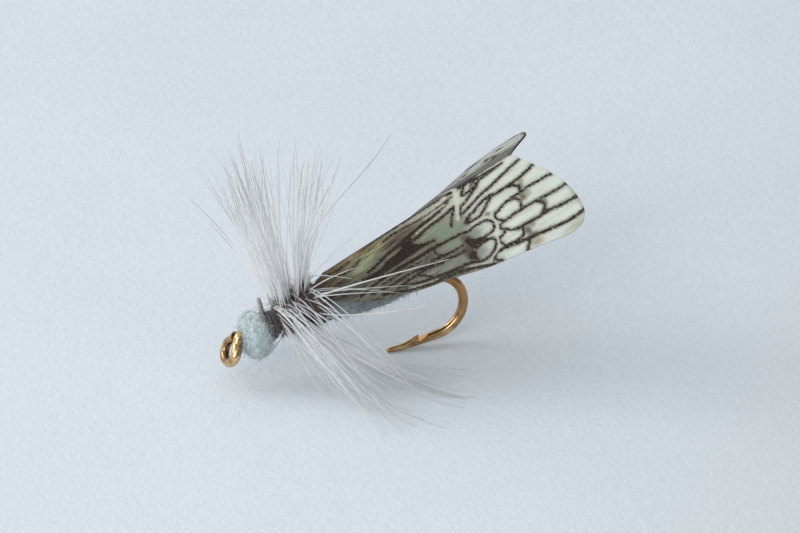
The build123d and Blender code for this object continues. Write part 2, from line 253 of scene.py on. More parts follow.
class Nodes:
    """Short calls for writing one node material."""

    def __init__(self, name):
        self.material = bpy.data.materials.new(name)
        self.material.use_nodes = True
        self.tree = self.material.node_tree
        self.tree.nodes.clear()

    def add(self, kind, inputs=None, **settings):
        """A node with its settings; each input is a constant or another node's output."""
        node = self.tree.nodes.new("ShaderNode" + kind)
        for key, value in settings.items():
            setattr(node, key, value)
        for key, value in (inputs or {}).items():
            if isinstance(value, bpy.types.NodeSocket):
                self.tree.links.new(value, node.inputs[key])
            else:
                node.inputs[key].default_value = value
        return node

    def place(self):
        """Object coordinates in millimetres."""
        where = self.add("TexCoord").outputs["Object"]
        return self.add("Mapping", {"Vector": where, "Scale": [1 / MM] * 3}).outputs[0]

    def drawn_out(self, where, degrees, size):
        """Coordinates turned in their plane and divided by size, so that noise is drawn out."""
        inputs = {"Vector": where, "Rotation": (0.0, 0.0, math.radians(degrees)), "Scale": (*size, 1.0)}
        return self.add("Mapping", inputs, vector_type="TEXTURE").outputs[0]

    def noise(self, where, scale, detail=4.0, rough=0.6, distortion=0.0):
        inputs = {"Vector": where, "Scale": scale, "Detail": detail, "Roughness": rough,
                  "Distortion": distortion}
        return self.add("TexNoise", inputs).outputs[0]

    def attribute(self, name, output="Fac"):
        return self.add("Attribute", attribute_name=name).outputs[output]

    def maths(self, operation, a, b):
        return self.add("Math", {0: a, 1: b}, operation=operation).outputs[0]

    def times(self, a, b):
        return self.maths("MULTIPLY", a, b)

    def plus(self, a, b):
        return self.maths("ADD", a, b)

    def swing(self, value, size):
        """How far a noise value stands from its middle, times size."""
        return self.times(self.maths("SUBTRACT", value, 0.5), size)

    def ranged(self, value, low, high, out_low=0.0, out_high=1.0):
        keys = {0: value, 1: low, 2: high, 3: out_low, 4: out_high}
        return self.add("MapRange", keys, interpolation_type="SMOOTHSTEP").outputs[0]

    def mix(self, share, a, b, blend="MIX"):
        colours = {key: value if isinstance(value, bpy.types.NodeSocket) else (*value, 1.0)
                   for key, value in ((6, a), (7, b))}
        return self.add("Mix", {0: share, **colours}, data_type="RGBA", blend_type=blend).outputs[2]

    def bump(self, height, depth, strength, normal=None):
        """A bumped normal, over another one if given; depth is in millimetres."""
        inputs = {"Height": height, "Strength": strength, "Distance": depth * MM}
        if normal is not None:
            inputs["Normal"] = normal
        return self.add("Bump", inputs).outputs[0]

    def finish(self, tone, rough, normal, glow=0.0, **more):
        """The surface. Sockets in more have _ for spaces; glow is the share that shines through."""
        inputs = {"Base Color": tone, "Roughness": rough, "Normal": normal}
        inputs.update({key.replace("_", " "): value for key, value in more.items()})
        shader = self.add("BsdfPrincipled", inputs).outputs[0]
        if glow:
            through = self.add("BsdfTranslucent", {"Color": tone}).outputs[0]
            shader = self.add("MixShader", {0: glow, 1: shader, 2: through}).outputs[0]
        self.add("OutputMaterial", {"Surface": shader})
        return self.material


def wire_material():
    """Bronzed hook wire with fine marks. The metal is painted lighter where the wire catches the light
    (painted shine); the eye's cut end and the inside of the eye are dark with raw cut metal and tarnish, and
    partly with painted shade.
    """
    n = Nodes("bronzed_wire")
    where = n.place()
    cloud = n.noise(where, 1.3, 3.0)
    speck = n.noise(where, 14.0)
    tone = n.mix(n.ranged(cloud, 0.35, 0.68), (0.50, 0.29, 0.13), (0.36, 0.19, 0.083))
    tone = n.mix(n.ranged(speck, 0.60, 0.78), tone, (0.24, 0.12, 0.055))
    # lighter metal where the wire catches the light: painted shine
    gold = n.mix(n.ranged(cloud, 0.38, 0.60), (0.76, 0.54, 0.28), (0.40, 0.235, 0.11))
    tone = n.mix(n.attribute("gold"), tone, gold)
    tone = n.mix(n.attribute("raw"), tone, (0.72, 0.36, 0.14))
    # dark at the eye's cut end and inside the eye: raw cut metal and tarnish, partly painted shade
    tone = n.mix(n.attribute("cut"), tone, (0.12, 0.055, 0.028))
    marks = n.bump(n.noise(where, 28.0, 3.0), 0.004, 0.5)
    return n.finish(tone, n.ranged(speck, 0.3, 0.8, 0.11, 0.30), marks, Metallic=1.0)


def thread_material(name, dark, light):
    """Waxed tying thread: two tones of filament and a slight shine."""
    n = Nodes(name)
    where = n.place()
    grain = n.noise(where, 24.0, 3.0)
    patch = n.noise(where, 2.2, 3.0)
    tone = n.mix(n.ranged(n.attribute("tone"), 0.0, 1.0), dark, light)
    tone = n.mix(n.ranged(grain, 0.45, 0.75, 0.0, 0.5), tone, [c * 1.7 for c in light])
    tone = n.mix(n.ranged(patch, 0.5, 0.7, 0.0, 0.5), tone, [c * 0.5 for c in dark])
    return n.finish(tone, 0.55, n.bump(grain, 0.008, 0.7), Sheen_Weight=0.25, Sheen_Roughness=0.4)


def wool_material(name, shade, body, light):
    """Dubbed wool: clumps and streaks of fibre, with a soft sheen."""
    n = Nodes(name)
    where = n.place()
    clump = n.noise(where, 1.5, 4.0, 0.6, 0.8)
    streak = n.noise(where, 7.0, 5.0, 0.65, 1.5)
    fuzz = n.noise(where, 26.0, 4.0, 0.7)
    tone = n.mix(n.ranged(clump, 0.36, 0.64), shade, body)
    tone = n.mix(n.ranged(streak, 0.42, 0.70, 0.0, 0.75), tone, light)
    tone = n.mix(n.ranged(fuzz, 0.30, 0.48, 0.45, 0.0), tone, shade)
    tone = n.mix(n.times(n.attribute("tone"), 0.6), tone, light)
    normal = n.bump(fuzz, 0.025, 0.8, n.bump(streak, 0.05, 0.6))
    return n.finish(tone, 0.9, normal, Sheen_Weight=0.35, Sheen_Roughness=0.5, Specular_IOR_Level=0.25)


def feather_material():
    """Hackle barbs: pale cream fibres that light shines through, some with brown tips."""
    n = Nodes("hackle_barb")
    share = n.attribute("share")
    pale = n.mix(n.attribute("tone"), (0.90, 0.885, 0.89), (1.0, 1.0, 1.0))
    web = n.mix(n.ranged(share, 0.0, 0.15, 0.35, 0.0), pale, (0.87, 0.84, 0.835))
    tip = n.times(n.ranged(share, 0.45, 0.85), n.attribute("brown"))
    tone = n.mix(tip, web, (0.22, 0.18, 0.15))
    band = n.noise(n.place(), 9.0, 2.0)
    tone = n.mix(n.ranged(band, 0.5, 0.75, 0.0, 0.25), tone, (0.92, 0.92, 0.90))
    return n.finish(tone, 0.38, n.bump(band, 0.004, 0.3), 0.60, Sheen_Weight=0.5)


def stem_material():
    """Feather stem: horn coloured to dark reddish brown by its tone value; on the trimmed butt the darker
    side is painted shade.
    """
    n = Nodes("feather_stem")
    grain = n.noise(n.place(), 18.0)
    tone = n.mix(n.attribute("tone"), (0.44, 0.41, 0.38), (0.13, 0.085, 0.075))
    tone = n.mix(n.ranged(grain, 0.4, 0.7, 0.0, 0.30), tone, (0.56, 0.53, 0.50))
    return n.finish(tone, 0.45, n.bump(grain, 0.01, 0.5))


def film_tint(n, grain, broad, fine, front):
    """The film's own colours, streaked along its grain towards the front."""
    tint = n.attribute("tint", "Color")
    streak = n.times(n.ranged(grain, 0.49, 0.58), front)
    tint = n.mix(n.times(streak, 0.80), tint, (0.33, 0.24, 0.165), "MULTIPLY")
    shine = n.times(n.ranged(grain, 0.45, 0.33), front)
    tint = n.mix(n.times(shine, 0.50), tint, (0.64, 0.60, 0.46))
    tint = n.mix(n.ranged(broad, 0.42, 0.66, 0.0, 0.22), tint, (0.50, 0.44, 0.34), "MULTIPLY")
    return n.mix(n.ranged(fine, 0.55, 0.75, 0.0, 0.20), tint, (0.93, 0.92, 0.84))


def film_material():
    """Printed wing film: tinted, translucent, with dark veins whose edges are ragged."""
    n = Nodes("wing_film")
    spot = n.attribute("spot", "Vector")
    front = n.attribute("front")
    ticks = n.noise(n.drawn_out(spot, -60.0, (0.26, 0.050)), 1.0, 3.0)
    grain = n.noise(n.drawn_out(spot, 3.0, (1.10, 0.085)), 1.0, 5.0, 0.65)
    broad = n.noise(n.drawn_out(spot, -4.0, (2.2, 0.30)), 1.0, 3.0)
    where = n.place()
    ragged = n.noise(where, 9.0, 3.0)
    fine = n.noise(where, 30.0, 4.0, 0.7)
    shift = n.plus(n.plus(n.swing(ticks, 0.40), n.swing(ragged, 0.11)), n.swing(fine, 0.10))
    edge = n.plus(n.attribute("ink"), shift)
    ink = n.ranged(edge, -0.014, 0.038, 1.0, 0.0)
    halo = n.ranged(edge, 0.0, 0.19, 0.50, 0.0)
    bare = n.ranged(n.plus(n.attribute("bare"), shift), -0.010, 0.024, 1.0, 0.0)
    tint = n.mix(halo, film_tint(n, grain, broad, fine, front), (0.27, 0.215, 0.135))
    pale_ink = n.mix(front, (0.095, 0.062, 0.043), (0.045, 0.029, 0.021))
    ink_tone = n.mix(n.ranged(ragged, 0.30, 0.70), (0.010, 0.006, 0.005), pale_ink)
    cream = n.times(bare, n.ranged(fine, 0.3, 0.6, 0.95, 0.70))
    tone = n.mix(cream, n.mix(ink, tint, ink_tone), (0.82, 0.82, 0.71))
    normal = n.bump(n.plus(n.times(ink, 0.6), n.times(fine, 0.25)), 0.012, 0.55)
    return n.finish(tone, n.ranged(fine, 0.3, 0.7, 0.34, 0.50), normal, 0.42, Specular_IOR_Level=0.30)


def paper_material():
    """Pale card under the fly, with painted shade: darker and greyer towards the near right, away from the
    lamps.
    """
    n = Nodes("pale_card")
    where = n.place()
    cloud = n.noise(where, 0.06, 3.0)
    tooth = n.noise(where, 2.6, 5.0, 0.65)
    mottle = n.noise(where, 1.1, 5.0, 0.7)
    tone = n.mix(n.ranged(cloud, 0.3, 0.7), (0.690, 0.725, 0.760), (0.715, 0.750, 0.785))
    tone = n.mix(n.ranged(mottle, 0.35, 0.62, 0.0, 0.30), tone, (0.655, 0.695, 0.735))
    # painted shade: the card darkens towards the near right, where the lamps' light falls off
    across = n.add("VectorMath", {0: where, 1: (0.8, -0.6, 0.0)}, operation="DOT_PRODUCT").outputs["Value"]
    tone = n.mix(n.ranged(across, 15.0, 42.0, 0.0, 0.75), tone, (0.60, 0.615, 0.625))
    return n.finish(tone, 0.85, n.bump(tooth, 0.16, 0.45), Specular_IOR_Level=0.2)


# ---------------------------------------------------------------- hook

WIRE, EYE_WIRE = 0.270, 0.255  # wire radii on the shank and in the eye
BEND_RADIUS, BEND_X = 1.84, 11.62
BEND_CENTRE = on_shank(BEND_X - BEND_RADIUS * math.sin(PITCH), -BEND_RADIUS)
SPEAR_DROP, SPEAR_RADIUS, SPEAR_LENGTH = math.radians(12.0), 22.0, 3.09
# along the spear: distance from the bend, wire radius, how far the centre line is lowered
SPEAR_TAPER = np.transpose([
    (0.0, 0.270, 0.0), (1.1, 0.215, 0.015), (1.7, 0.195, 0.030), (2.4, 0.165, 0.035),
    (2.85, 0.130, 0.030), (3.00, 0.095, 0.035), (3.07, 0.052, 0.040), (3.09, 0.012, 0.042),
])
BARB_AT, BARB_LENGTH, BARB_HEIGHT = 1.22, 0.72, 0.21
NOTCH_LENGTH, NOTCH_DEPTH = 0.66, 0.15
# the eye's wire from its cut end to the neck, in the ring's plane: sideways, upward
EYE_LOOP = [
    (0.19, 0.85), (0.22, 0.73), (0.27, 0.60), (0.35, 0.45), (0.48, 0.32), (0.61, 0.16),
    (0.68, -0.05), (0.665, -0.27), (0.55, -0.48), (0.38, -0.62), (0.19, -0.69), (0.0, -0.71),
    (-0.19, -0.69), (-0.38, -0.62), (-0.55, -0.48), (-0.665, -0.27), (-0.68, -0.05),
    (-0.61, 0.16), (-0.49, 0.32), (-0.36, 0.45), (-0.28, 0.59), (-0.24, 0.72), (-0.20, 0.83),
]
EYE_LEAN = (0.02, 0.01, 0.0)  # how far the loop's first points stand behind the ring's plane
NECK = [(0.47, -0.12, 0.845), (0.64, -0.06, 0.862), (0.85, -0.015, 0.877)]
NECK_END, SHANK_START = 1.15, 1.25
WIRE_SIDES = 36
CUT_RINGS = 14  # rings of the eye's free end that the oblique cut may reach


def spear_frame(distance):
    """Centre line of the spear at a distance from the bend: point, direction, upward."""
    down = np.array((math.sin(SPEAR_DROP), 0, -math.cos(SPEAR_DROP)))
    centre = BEND_CENTRE + down * (BEND_RADIUS - SPEAR_RADIUS)
    turn = SPEAR_DROP - np.asarray(distance) / SPEAR_RADIUS
    upward = circle(turn, Z_AXIS, -X_AXIS)
    return centre - upward * SPEAR_RADIUS, circle(turn, -X_AXIS, -Z_AXIS), upward


def eye_and_neck():
    """Centre line of the eye's loop and of the neck behind it."""
    loop = [EYE + RING_UP * up + Y_AXIS * side for side, up in EYE_LOOP]
    loop[:3] = [point - EYE_AXIS * back for point, back in zip(loop, EYE_LEAN)]
    return smooth_path(loop + [np.array(p) for p in NECK] + [on_shank(NECK_END)], 0.035)


def spear_distances():
    """Where the spear's rings stand: close together round the barb and at the point."""
    return np.unique(np.concatenate([
        np.arange(0.03, BARB_AT - NOTCH_LENGTH, 0.05),
        np.arange(BARB_AT - NOTCH_LENGTH, BARB_AT - 0.02, 0.02),
        BARB_AT + np.array([-0.018, -0.010, -0.004, 0.004, 0.012, 0.024]),
        np.arange(BARB_AT + 0.04, BARB_AT + BARB_LENGTH, 0.02),
        np.arange(BARB_AT + BARB_LENGTH, SPEAR_LENGTH, 0.03),
        [SPEAR_LENGTH],
    ]))


def cut_barb(points, centre, distance, radius):
    """Cuts the notch and raises the sliver in front of it, as one chisel stroke does."""
    _, way, upward = spear_frame(distance)
    side = (points - centre) @ Y_AXIS
    height = np.sum((points - centre) * upward, axis=1)
    back = BARB_AT - distance
    floor = radius - NOTCH_DEPTH * np.clip(1 - back / NOTCH_LENGTH, 0, 1)
    notch = (back > 0) & (back < NOTCH_LENGTH) & (height > floor)
    moved = points + upward * np.where(notch, floor - height, 0.0)[:, None]
    ahead = np.clip(distance - BARB_AT, 0, None) / BARB_LENGTH
    rise = BARB_HEIGHT * np.clip(1 - ahead, 0, 1) ** 1.15
    width = 0.10 + 0.16 * ahead
    tongue = np.clip(1 - (side / width) ** 2, 0, 1) * (height > 0)
    tongue = np.where((back <= 0) & (ahead < 1), tongue, 0.0)
    lean = 0.55 * np.clip(1 - ahead * 2.2, 0, 1)
    moved = moved + (upward - way * lean[:, None]) * (rise * tongue)[:, None]
    return moved, np.where(notch, 1.0, 0.0)


def cut_eye(points, end, way):
    """Cuts the eye's free end aslant, open to the front and the near side."""
    away = points - end
    height = away @ way
    slope = (away - height[:, None] * way) @ (Y_AXIS * 1.15 + X_AXIS * 0.55)
    limit = np.minimum(height, slope)
    return points + way * (limit - height)[:, None], np.clip((height - limit) / 0.04, 0, 1)


def wire_path():
    """Centre line of the whole wire; also its eye and spear, and the spear's distances."""
    eye = eye_and_neck()
    shank = np.linspace(on_shank(SHANK_START), BEND_CENTRE + UPWARD * BEND_RADIUS, 90)
    angle = np.linspace(math.pi / 2 + PITCH, SPEAR_DROP - math.pi / 2, 110)[1:]
    bend = BEND_CENTRE + BEND_RADIUS * circle(angle, X_AXIS, Z_AXIS)
    distance = spear_distances()
    spear, _, upward = spear_frame(distance)
    spear = spear - upward * np.interp(distance, SPEAR_TAPER[0], SPEAR_TAPER[2])[:, None]
    return np.vstack([eye, shank, bend, spear]), eye, spear, distance


def wire_radii(count, eye, distance):
    """The wire's radius at each ring: finer in the eye, fuller on its near side, tapered to the point."""
    turns = len(eye)
    radii = np.full(count, WIRE)
    radii[:turns] = np.interp(np.arange(turns), [0, turns * 0.8, turns], [EYE_WIRE, EYE_WIRE, WIRE])
    radii[-len(distance):] = np.interp(distance, SPEAR_TAPER[0], SPEAR_TAPER[1])
    radii[0] *= 0.93
    near = np.clip(-(eye - EYE) @ Y_AXIS - 0.3, 0, None) * (eye[:, 0] < 0.5)
    radii[:turns] += 0.10 * near
    return radii


def hook(material):
    """One wire: the rolled eye, neck, shank, round bend and barbed spear."""
    path, eye, spear, distance = wire_path()
    count, turns, first = len(path), len(eye), len(path) - len(distance)
    radii = wire_radii(count, eye, distance)
    points, faces = tubes(path[None], radii[None], WIRE_SIDES)
    raw, cut = np.zeros(len(points)), np.zeros(len(points))
    rings = slice(first * WIRE_SIDES, count * WIRE_SIDES)
    centre, at, radius = (np.repeat(v, WIRE_SIDES, axis=0) for v in (spear, distance, radii[first:]))
    points[rings], raw[rings] = cut_barb(points[rings], centre, at, radius)
    # the inside of the eye, facing its hole, is darkened: partly tarnish, partly painted shade in the hollow
    ring = slice(0, int(turns * 0.72) * WIRE_SIDES)
    centre = np.repeat(eye, WIRE_SIDES, axis=0)[ring]
    inward = np.sum(unit(points[ring] - centre) * unit(EYE - centre), axis=1)
    cut[ring] = 0.80 * np.clip(inward * 1.6 - 0.35, 0, 1)
    # the eye's free end is cut aslant and darkened: raw cut metal, with painted shade in the gap by the neck
    free = slice(0, CUT_RINGS * WIRE_SIDES)
    points[free], slant = cut_eye(points[free], eye[0], unit(eye[0] - eye[4]))
    cut[free] = np.maximum(cut[free], slant)
    cut[count * WIRE_SIDES] = 1.0
    # painted shine: lighter metal in the eye, none along the shank, and again from the bend's end to behind
    # the point, where the wire catches the light
    stations = [turns * 0.8, turns * 1.2, first - 45, first - 15, first + len(distance) * 0.8, count]
    gold = np.interp(np.arange(count), stations, [1.0, 0.0, 0.0, 1.0, 0.8, 0.2])
    shape = Shape()
    shape.add(points, faces, cut=cut, gold=spread(gold[None], WIRE_SIDES), raw=raw)
    shape.build("hook_wire", "hook", material)


# ---------------------------------------------------------------- thread


def winding(start, end, turns, radius, wander=0.0, per_turn=40, squash=1.0, lift=0.0):
    """Turns round the shank from x = start to end; radius is a number or a function along them."""
    count = int(abs(turns) * per_turn) + 1
    t = np.linspace(0, 1, count)
    angle = t * turns * TURN
    x = start + (end - start) * t
    x = x + wander * np.sin(angle * 0.37 + 1.3) * np.sin(angle * 0.11)
    size = radius(t) if callable(radius) else np.full(count, radius)
    size = size + wander * 0.5 * np.sin(angle * 0.73)
    centre = np.array([on_shank(v, lift) for v in x])
    return centre + circle(angle, UPWARD, Y_AXIS * squash) * size[:, None]


def add_winding(shape, path, thickness, tone, sides=8):
    points, faces = tubes(path[None], thickness / 2, sides)
    shape.add(points, faces, tone=np.full(len(points), tone))


def add_sleeve(shape, start, end, radii, around=32, tone=0.1):
    """A smooth core under the turns, with one ring for each radius."""
    centres = np.array([on_shank(x) for x in np.linspace(start, end, len(radii))])
    points, _, faces = lathe(centres, radii, ALONG, UPWARD, around)
    shape.add(points, faces, tone=np.full(len(points), tone))


def add_strands(shape, paths, thick, thin, tone):
    """Loose fibre ends, tapered from thick to thin."""
    radii = np.linspace(thick, thin, paths.shape[1])[None].repeat(len(paths), 0)
    points, faces = tubes(paths, radii, 4)
    shape.add(points, faces, tone=np.full(len(points), tone))


def thread_base(material):
    """Close turns along the whole shank."""
    low, high = box_mm("thread_base")
    start, end = low[0] + 0.05, high[0] - 0.05
    shape = Shape()
    add_sleeve(shape, start, end, np.full(8, WIRE + 0.02))
    path = winding(start, end, (end - start) / 0.10, WIRE + 0.045, 0.01, 20)
    add_winding(shape, path, 0.085, 0.4, 6)
    shape.build("thread_base_turns", "thread_base", material)


def whip_finish(material):
    """The knot's few turns behind the eye."""
    low, high = box_mm("whip_finish")
    start, end = low[0] + 0.05, high[0] - 0.04
    shape = Shape()
    add_sleeve(shape, start, end, np.full(8, WIRE + 0.02))
    add_winding(shape, winding(start, end, 3.4, WIRE + 0.04, 0.008), 0.075, 0.6)
    shape.build("whip_finish_turns", "whip_finish", material)


def collar_radius(t):
    """Outer radius of the collar along its length."""
    high = box_mm("thread_collar")[1][1]
    return high * (0.90 + 0.10 * np.sin(math.pi * np.clip(t * 0.85 + 0.1, 0, 1)))


def collar_layer(a, b, turns, lift):
    """One layer of the collar from x = a to b, its turns standing lift over the collar's radius."""
    def size(t):
        return collar_radius(1 - t if a > b else t) + lift - 0.02
    return winding(a, b, turns, size, 0.035)


def collar_fibres(shape, start, end, count):
    """Loose ends of fibre that stand out of the collar."""
    angle = RNG.uniform(0, TURN, count)
    x = RNG.uniform(start, end, count)
    root = np.array([on_shank(v) for v in x])
    ring = circle(angle, UPWARD, Y_AXIS)
    turn = np.cross(ALONG, ring) * RNG.choice([-1, 1], count)[:, None]
    root = root + ring * (collar_radius((x - start) / (end - start)) - 0.01)[:, None]
    length = RNG.uniform(0.15, 0.42, count)[:, None]
    tip = root + (ring * RNG.uniform(0.1, 0.55, count)[:, None] + turn * 0.8) * length
    tip = tip + ALONG * RNG.uniform(-0.12, 0.12, count)[:, None]
    add_strands(shape, bezier(root, root + turn * length * 0.4, tip - ring * 0.02, tip, 6), 0.014, 0.006, 0.5)


def thread_collar(material):
    """Turns of dark thread that tie off the hackle, over a core, with loose ends of fibre."""
    low, high = box_mm("thread_collar")
    start, end = low[0] + 0.04, high[0] - 0.06
    shape = Shape()
    add_sleeve(shape, start, end, collar_radius(np.linspace(0, 1, 12)) - 0.07, 48)
    add_winding(shape, collar_layer(start, end, 9.5, -0.045), 0.10, 0.25)
    add_winding(shape, collar_layer(end, start, 4.6, 0.0), 0.10, 0.80)
    add_winding(shape, collar_layer(start, end, -3.3, 0.02), 0.10, 0.45)
    collar_fibres(shape, start, end, 10)
    shape.build("thread_collar_turns", "thread_collar", material)


def wing_lashing(material):
    """Turns that hold the wing's neck down, under the thorax dubbing."""
    low, high = box_mm("wing_lashing")
    half_width = high[1] - 0.04
    half_height = (high[2] - low[2]) / 2 - 0.06
    centre = middle("wing_lashing")
    lift = float((centre - on_shank(centre[0])) @ UPWARD)
    start, end = low[0] + 0.12, high[0] - 0.12
    path = winding(start, end, 6.5, half_height, 0.01, 36, half_width / half_height, lift)
    shape = Shape()
    add_winding(shape, path, 0.075, 0.3, 6)
    shape.build("wing_lashing_turns", "wing_lashing", material)


# ---------------------------------------------------------------- dubbing


def hair(roots, normals, flow, length, radius, lift, curl=0.5, steps=6, sides=4):
    """Short fibres lying along flow and rising from the surface by lift at their tips."""
    length, rise = length[:, None], normals * lift[:, None]
    bow = np.cross(normals, flow) * RNG.normal(0, curl, len(roots))[:, None]

    def at(share, risen, bowed):
        return roots + length * (flow * share + rise * risen + bow * bowed)

    paths = bezier(roots - normals * 0.02, at(0.35, 0.25, 0.4), at(0.70, 0.70, 0.9), at(1, 1, 1), steps)
    return tubes(paths, np.linspace(1.0, 0.45, steps)[None] * radius[:, None], sides)


def fibres_on(shape, points, normals, axis, count, lengths, radius, lift, wild):
    """Scatters fibres over a surface: mostly wound round axis, turned aside by wild radians."""
    pick = RNG.integers(0, len(points), count)
    roots, normal = points[pick], unit(normals[pick])
    around = unit(np.cross(axis, normal)) * RNG.choice([-1.0, 1.0], count)[:, None]
    along = unit(np.cross(normal, around))
    flow = circle(RNG.normal(0, wild, count), around, along)
    length = RNG.uniform(*lengths, count)
    rise = np.abs(RNG.normal(0, lift, count))
    made, faces = hair(roots, normal, flow, length, RNG.uniform(0.6, 1.2, count) * radius, rise)
    shape.add(made, faces, tone=np.repeat(RNG.uniform(0, 1, count), len(made) // count))


def dubbed_body(shape, centres, radii, way, around, lumps, tufts):
    """A lumpy body of wound wool. Returns its points and outward directions."""
    up = unit(np.cross(way, Y_AXIS))
    points, outward, faces = lathe(centres, radii, way, up, around)
    warp = np.stack([wool_noise(points + k * 7.3, 0.9, 2) for k in range(3)], -1)
    height = lumps * wool_noise(points + warp * 0.5, 1.1)
    height = height + tufts * (1 - 2 * np.abs(wool_noise(points + warp * 0.7, 3.1, 4)))
    points = points + outward * height[:, None]
    shape.add(points, faces, tone=np.zeros(len(points)))
    return points[:-2], outward[:-2]


def head(material):
    """The ball of pale dubbing between the eye and the collar: fuller and longer in front."""
    centre = middle("head_dubbing")
    radius, half_length = box_mm("head_dubbing")[1][1], 0.83
    along = np.sin(np.linspace(-1, 1, 130) * math.pi / 2)
    rear = along > 0
    fullness = np.where(rear, 2.15, 2.35)
    size = radius * np.sqrt(np.clip(1 - np.abs(along) ** fullness, 0, 1)) * 0.985
    squeeze = np.where(rear, 0.98, 1.07)
    centres = centre + ALONG * (along * half_length * squeeze)[:, None]
    shape = Shape()
    points, _ = dubbed_body(shape, centres, np.maximum(size, 0.02), ALONG, 170, 0.10, 0.030)
    normals = unit(points - centre) * [1.4, 1, 1]
    fibres_on(shape, points, normals, ALONG, 1500, (0.25, 0.70), 0.014, 0.06, 0.9)
    fibres_on(shape, points, normals, ALONG, 70, (0.25, 0.55), 0.009, 0.40, 1.2)
    shape.build("head_wool", "head_dubbing", material)


def body(material):
    """The dubbed body under the wing, in a darker, greyer copy of the head's pale wool: painted shade."""
    low, high = box_mm("body_dubbing")
    start, end, radius = low[0] + 0.08, high[0] - 0.09, high[1] * 0.97
    x = np.linspace(start, end, 170)
    t = (x - start) / (end - start)
    size = radius * np.clip(np.minimum(t * 9, (1 - t) * 2.6), 0, 1) ** 0.55
    centres = np.array([on_shank(v) for v in x])
    shape = Shape()
    size = np.maximum(size, WIRE + 0.05)
    points, outward = dubbed_body(shape, centres, size, ALONG, 96, 0.06, 0.025)
    fibres_on(shape, points, outward, ALONG, 1500, (0.25, 0.7), 0.013, 0.03, 0.5)
    fibres_on(shape, points, outward, ALONG, 40, (0.2, 0.4), 0.009, 0.25, 1.0)
    shape.build("shaded_body_wool", "body_dubbing", material)


THORAX_FRONT = on_shank(2.58, 0.23)
THORAX_REAR = on_shank(5.20, 0.72)
THORAX_WAY = unit(THORAX_REAR - THORAX_FRONT)
THORAX_UP = unit(np.cross(THORAX_WAY, Y_AXIS))
THORAX_LENGTH = float(np.linalg.norm(THORAX_REAR - THORAX_FRONT))
THORAX_RADII = (0.84, 1.32)


def thorax_radius(distance):
    return np.interp(distance, [0, THORAX_LENGTH], THORAX_RADII)


def thorax_axis(distance):
    """Points on the thorax's axis, at distances from its front."""
    return THORAX_FRONT + THORAX_WAY * distance[:, None]


def thorax(material):
    """Dark dubbing over the neck of the wing, under the hackle."""
    t = np.linspace(0, 1, 90)
    distance = THORAX_LENGTH * t
    ends = np.clip(np.minimum(t * 7 + 0.25, (1 - t) * 7 + 0.25), 0, 1) ** 0.5
    size = thorax_radius(distance) * ends * 0.97
    shape = Shape()
    points, outward = dubbed_body(shape, thorax_axis(distance), size, THORAX_WAY, 110, 0.08, 0.05)
    fibres_on(shape, points, outward, THORAX_WAY, 1300, (0.3, 0.9), 0.013, 0.25, 0.6)
    fibres_on(shape, points, outward, THORAX_WAY, 70, (0.3, 0.8), 0.009, 0.6, 1.0)
    shape.build("thorax_wool", "thorax_dubbing", material)


# ---------------------------------------------------------------- hackle

STEM_START, STEM_PITCH, STEM_TURNS = 0.12, 0.46, 5
STEM_END = 2.38
STEM_RADIUS = 0.050
STEM_CLEAR = 0.10  # the stem's centre line stands this far off the thorax


def clock_direction(clock):
    """Square to the thorax's axis: clock 0 is up and a quarter turn is towards -Y."""
    return circle(clock, THORAX_UP, -Y_AXIS)


def hackle_stem(material):
    """The feather's stem, wound round the thorax."""
    turns = np.linspace(0, STEM_TURNS, STEM_TURNS * 60)
    distance = STEM_START + turns * STEM_PITCH
    radius = thorax_radius(distance) + STEM_CLEAR + 0.015 * np.sin(turns * 4.1)
    path = thorax_axis(distance) + clock_direction(turns * TURN + math.pi / 2) * radius[:, None]
    thick = STEM_RADIUS * np.interp(turns, [0, STEM_TURNS], [1.1, 0.8])
    points, faces = tubes(path[None], thick[None], 10)
    shape = Shape()
    shape.add(points, faces, tone=spread((0.86 + 0.12 * np.sin(turns * 6.0))[None], 10))
    shape.build("hackle_stem_wound", "hackle_stem", material)


def hackle_stub(material):
    """The stem's trimmed butt, standing up in front of the collar, with strands at its trimmed end; its side
    away from the lamps is painted darker as shade.
    """
    low, high = box_mm("hackle_stub")
    foot = np.array((high[0] - 0.09, low[1] + 0.10, low[2] + 0.03))
    top = np.array((low[0] + 0.10, high[1] - 0.10, high[2] - 0.03))
    bow = np.array((0.02, 0.03, 0.0))
    steps = 26
    path = bezier([foot - (top - foot) * 0.12], [foot * 0.67 + top * 0.33 + bow],
                  [foot * 0.33 + top * 0.67 + bow], [top], steps)
    radii = np.linspace(0.145, 0.118, steps) * (1 + 0.06 * np.sin(np.arange(steps) * 1.9))
    points, faces = tubes(path, radii[None], 18)
    # the butt's rear side, away from the lamps, is painted darker: painted shade
    across = (points - middle("hackle_stub")) @ X_AXIS
    shape = Shape()
    shape.add(points, faces, tone=np.clip(0.5 + across * 5.0, 0, 1))
    count = 7
    root = path[0][RNG.integers(8, steps, count)]
    out = unit(RNG.normal(0, 1, (count, 3)) * [1, 1, 0.3])
    tip = root + out * RNG.uniform(0.08, 0.16, count)[:, None]
    tip = tip + Z_AXIS * RNG.uniform(0.05, 0.25, count)[:, None]
    add_strands(shape, bezier(root, root + out * 0.10, tip - Z_AXIS * 0.08, tip, 6), 0.016, 0.007, 0.35)
    shape.build("hackle_stub_cut", "hackle_stub", material)


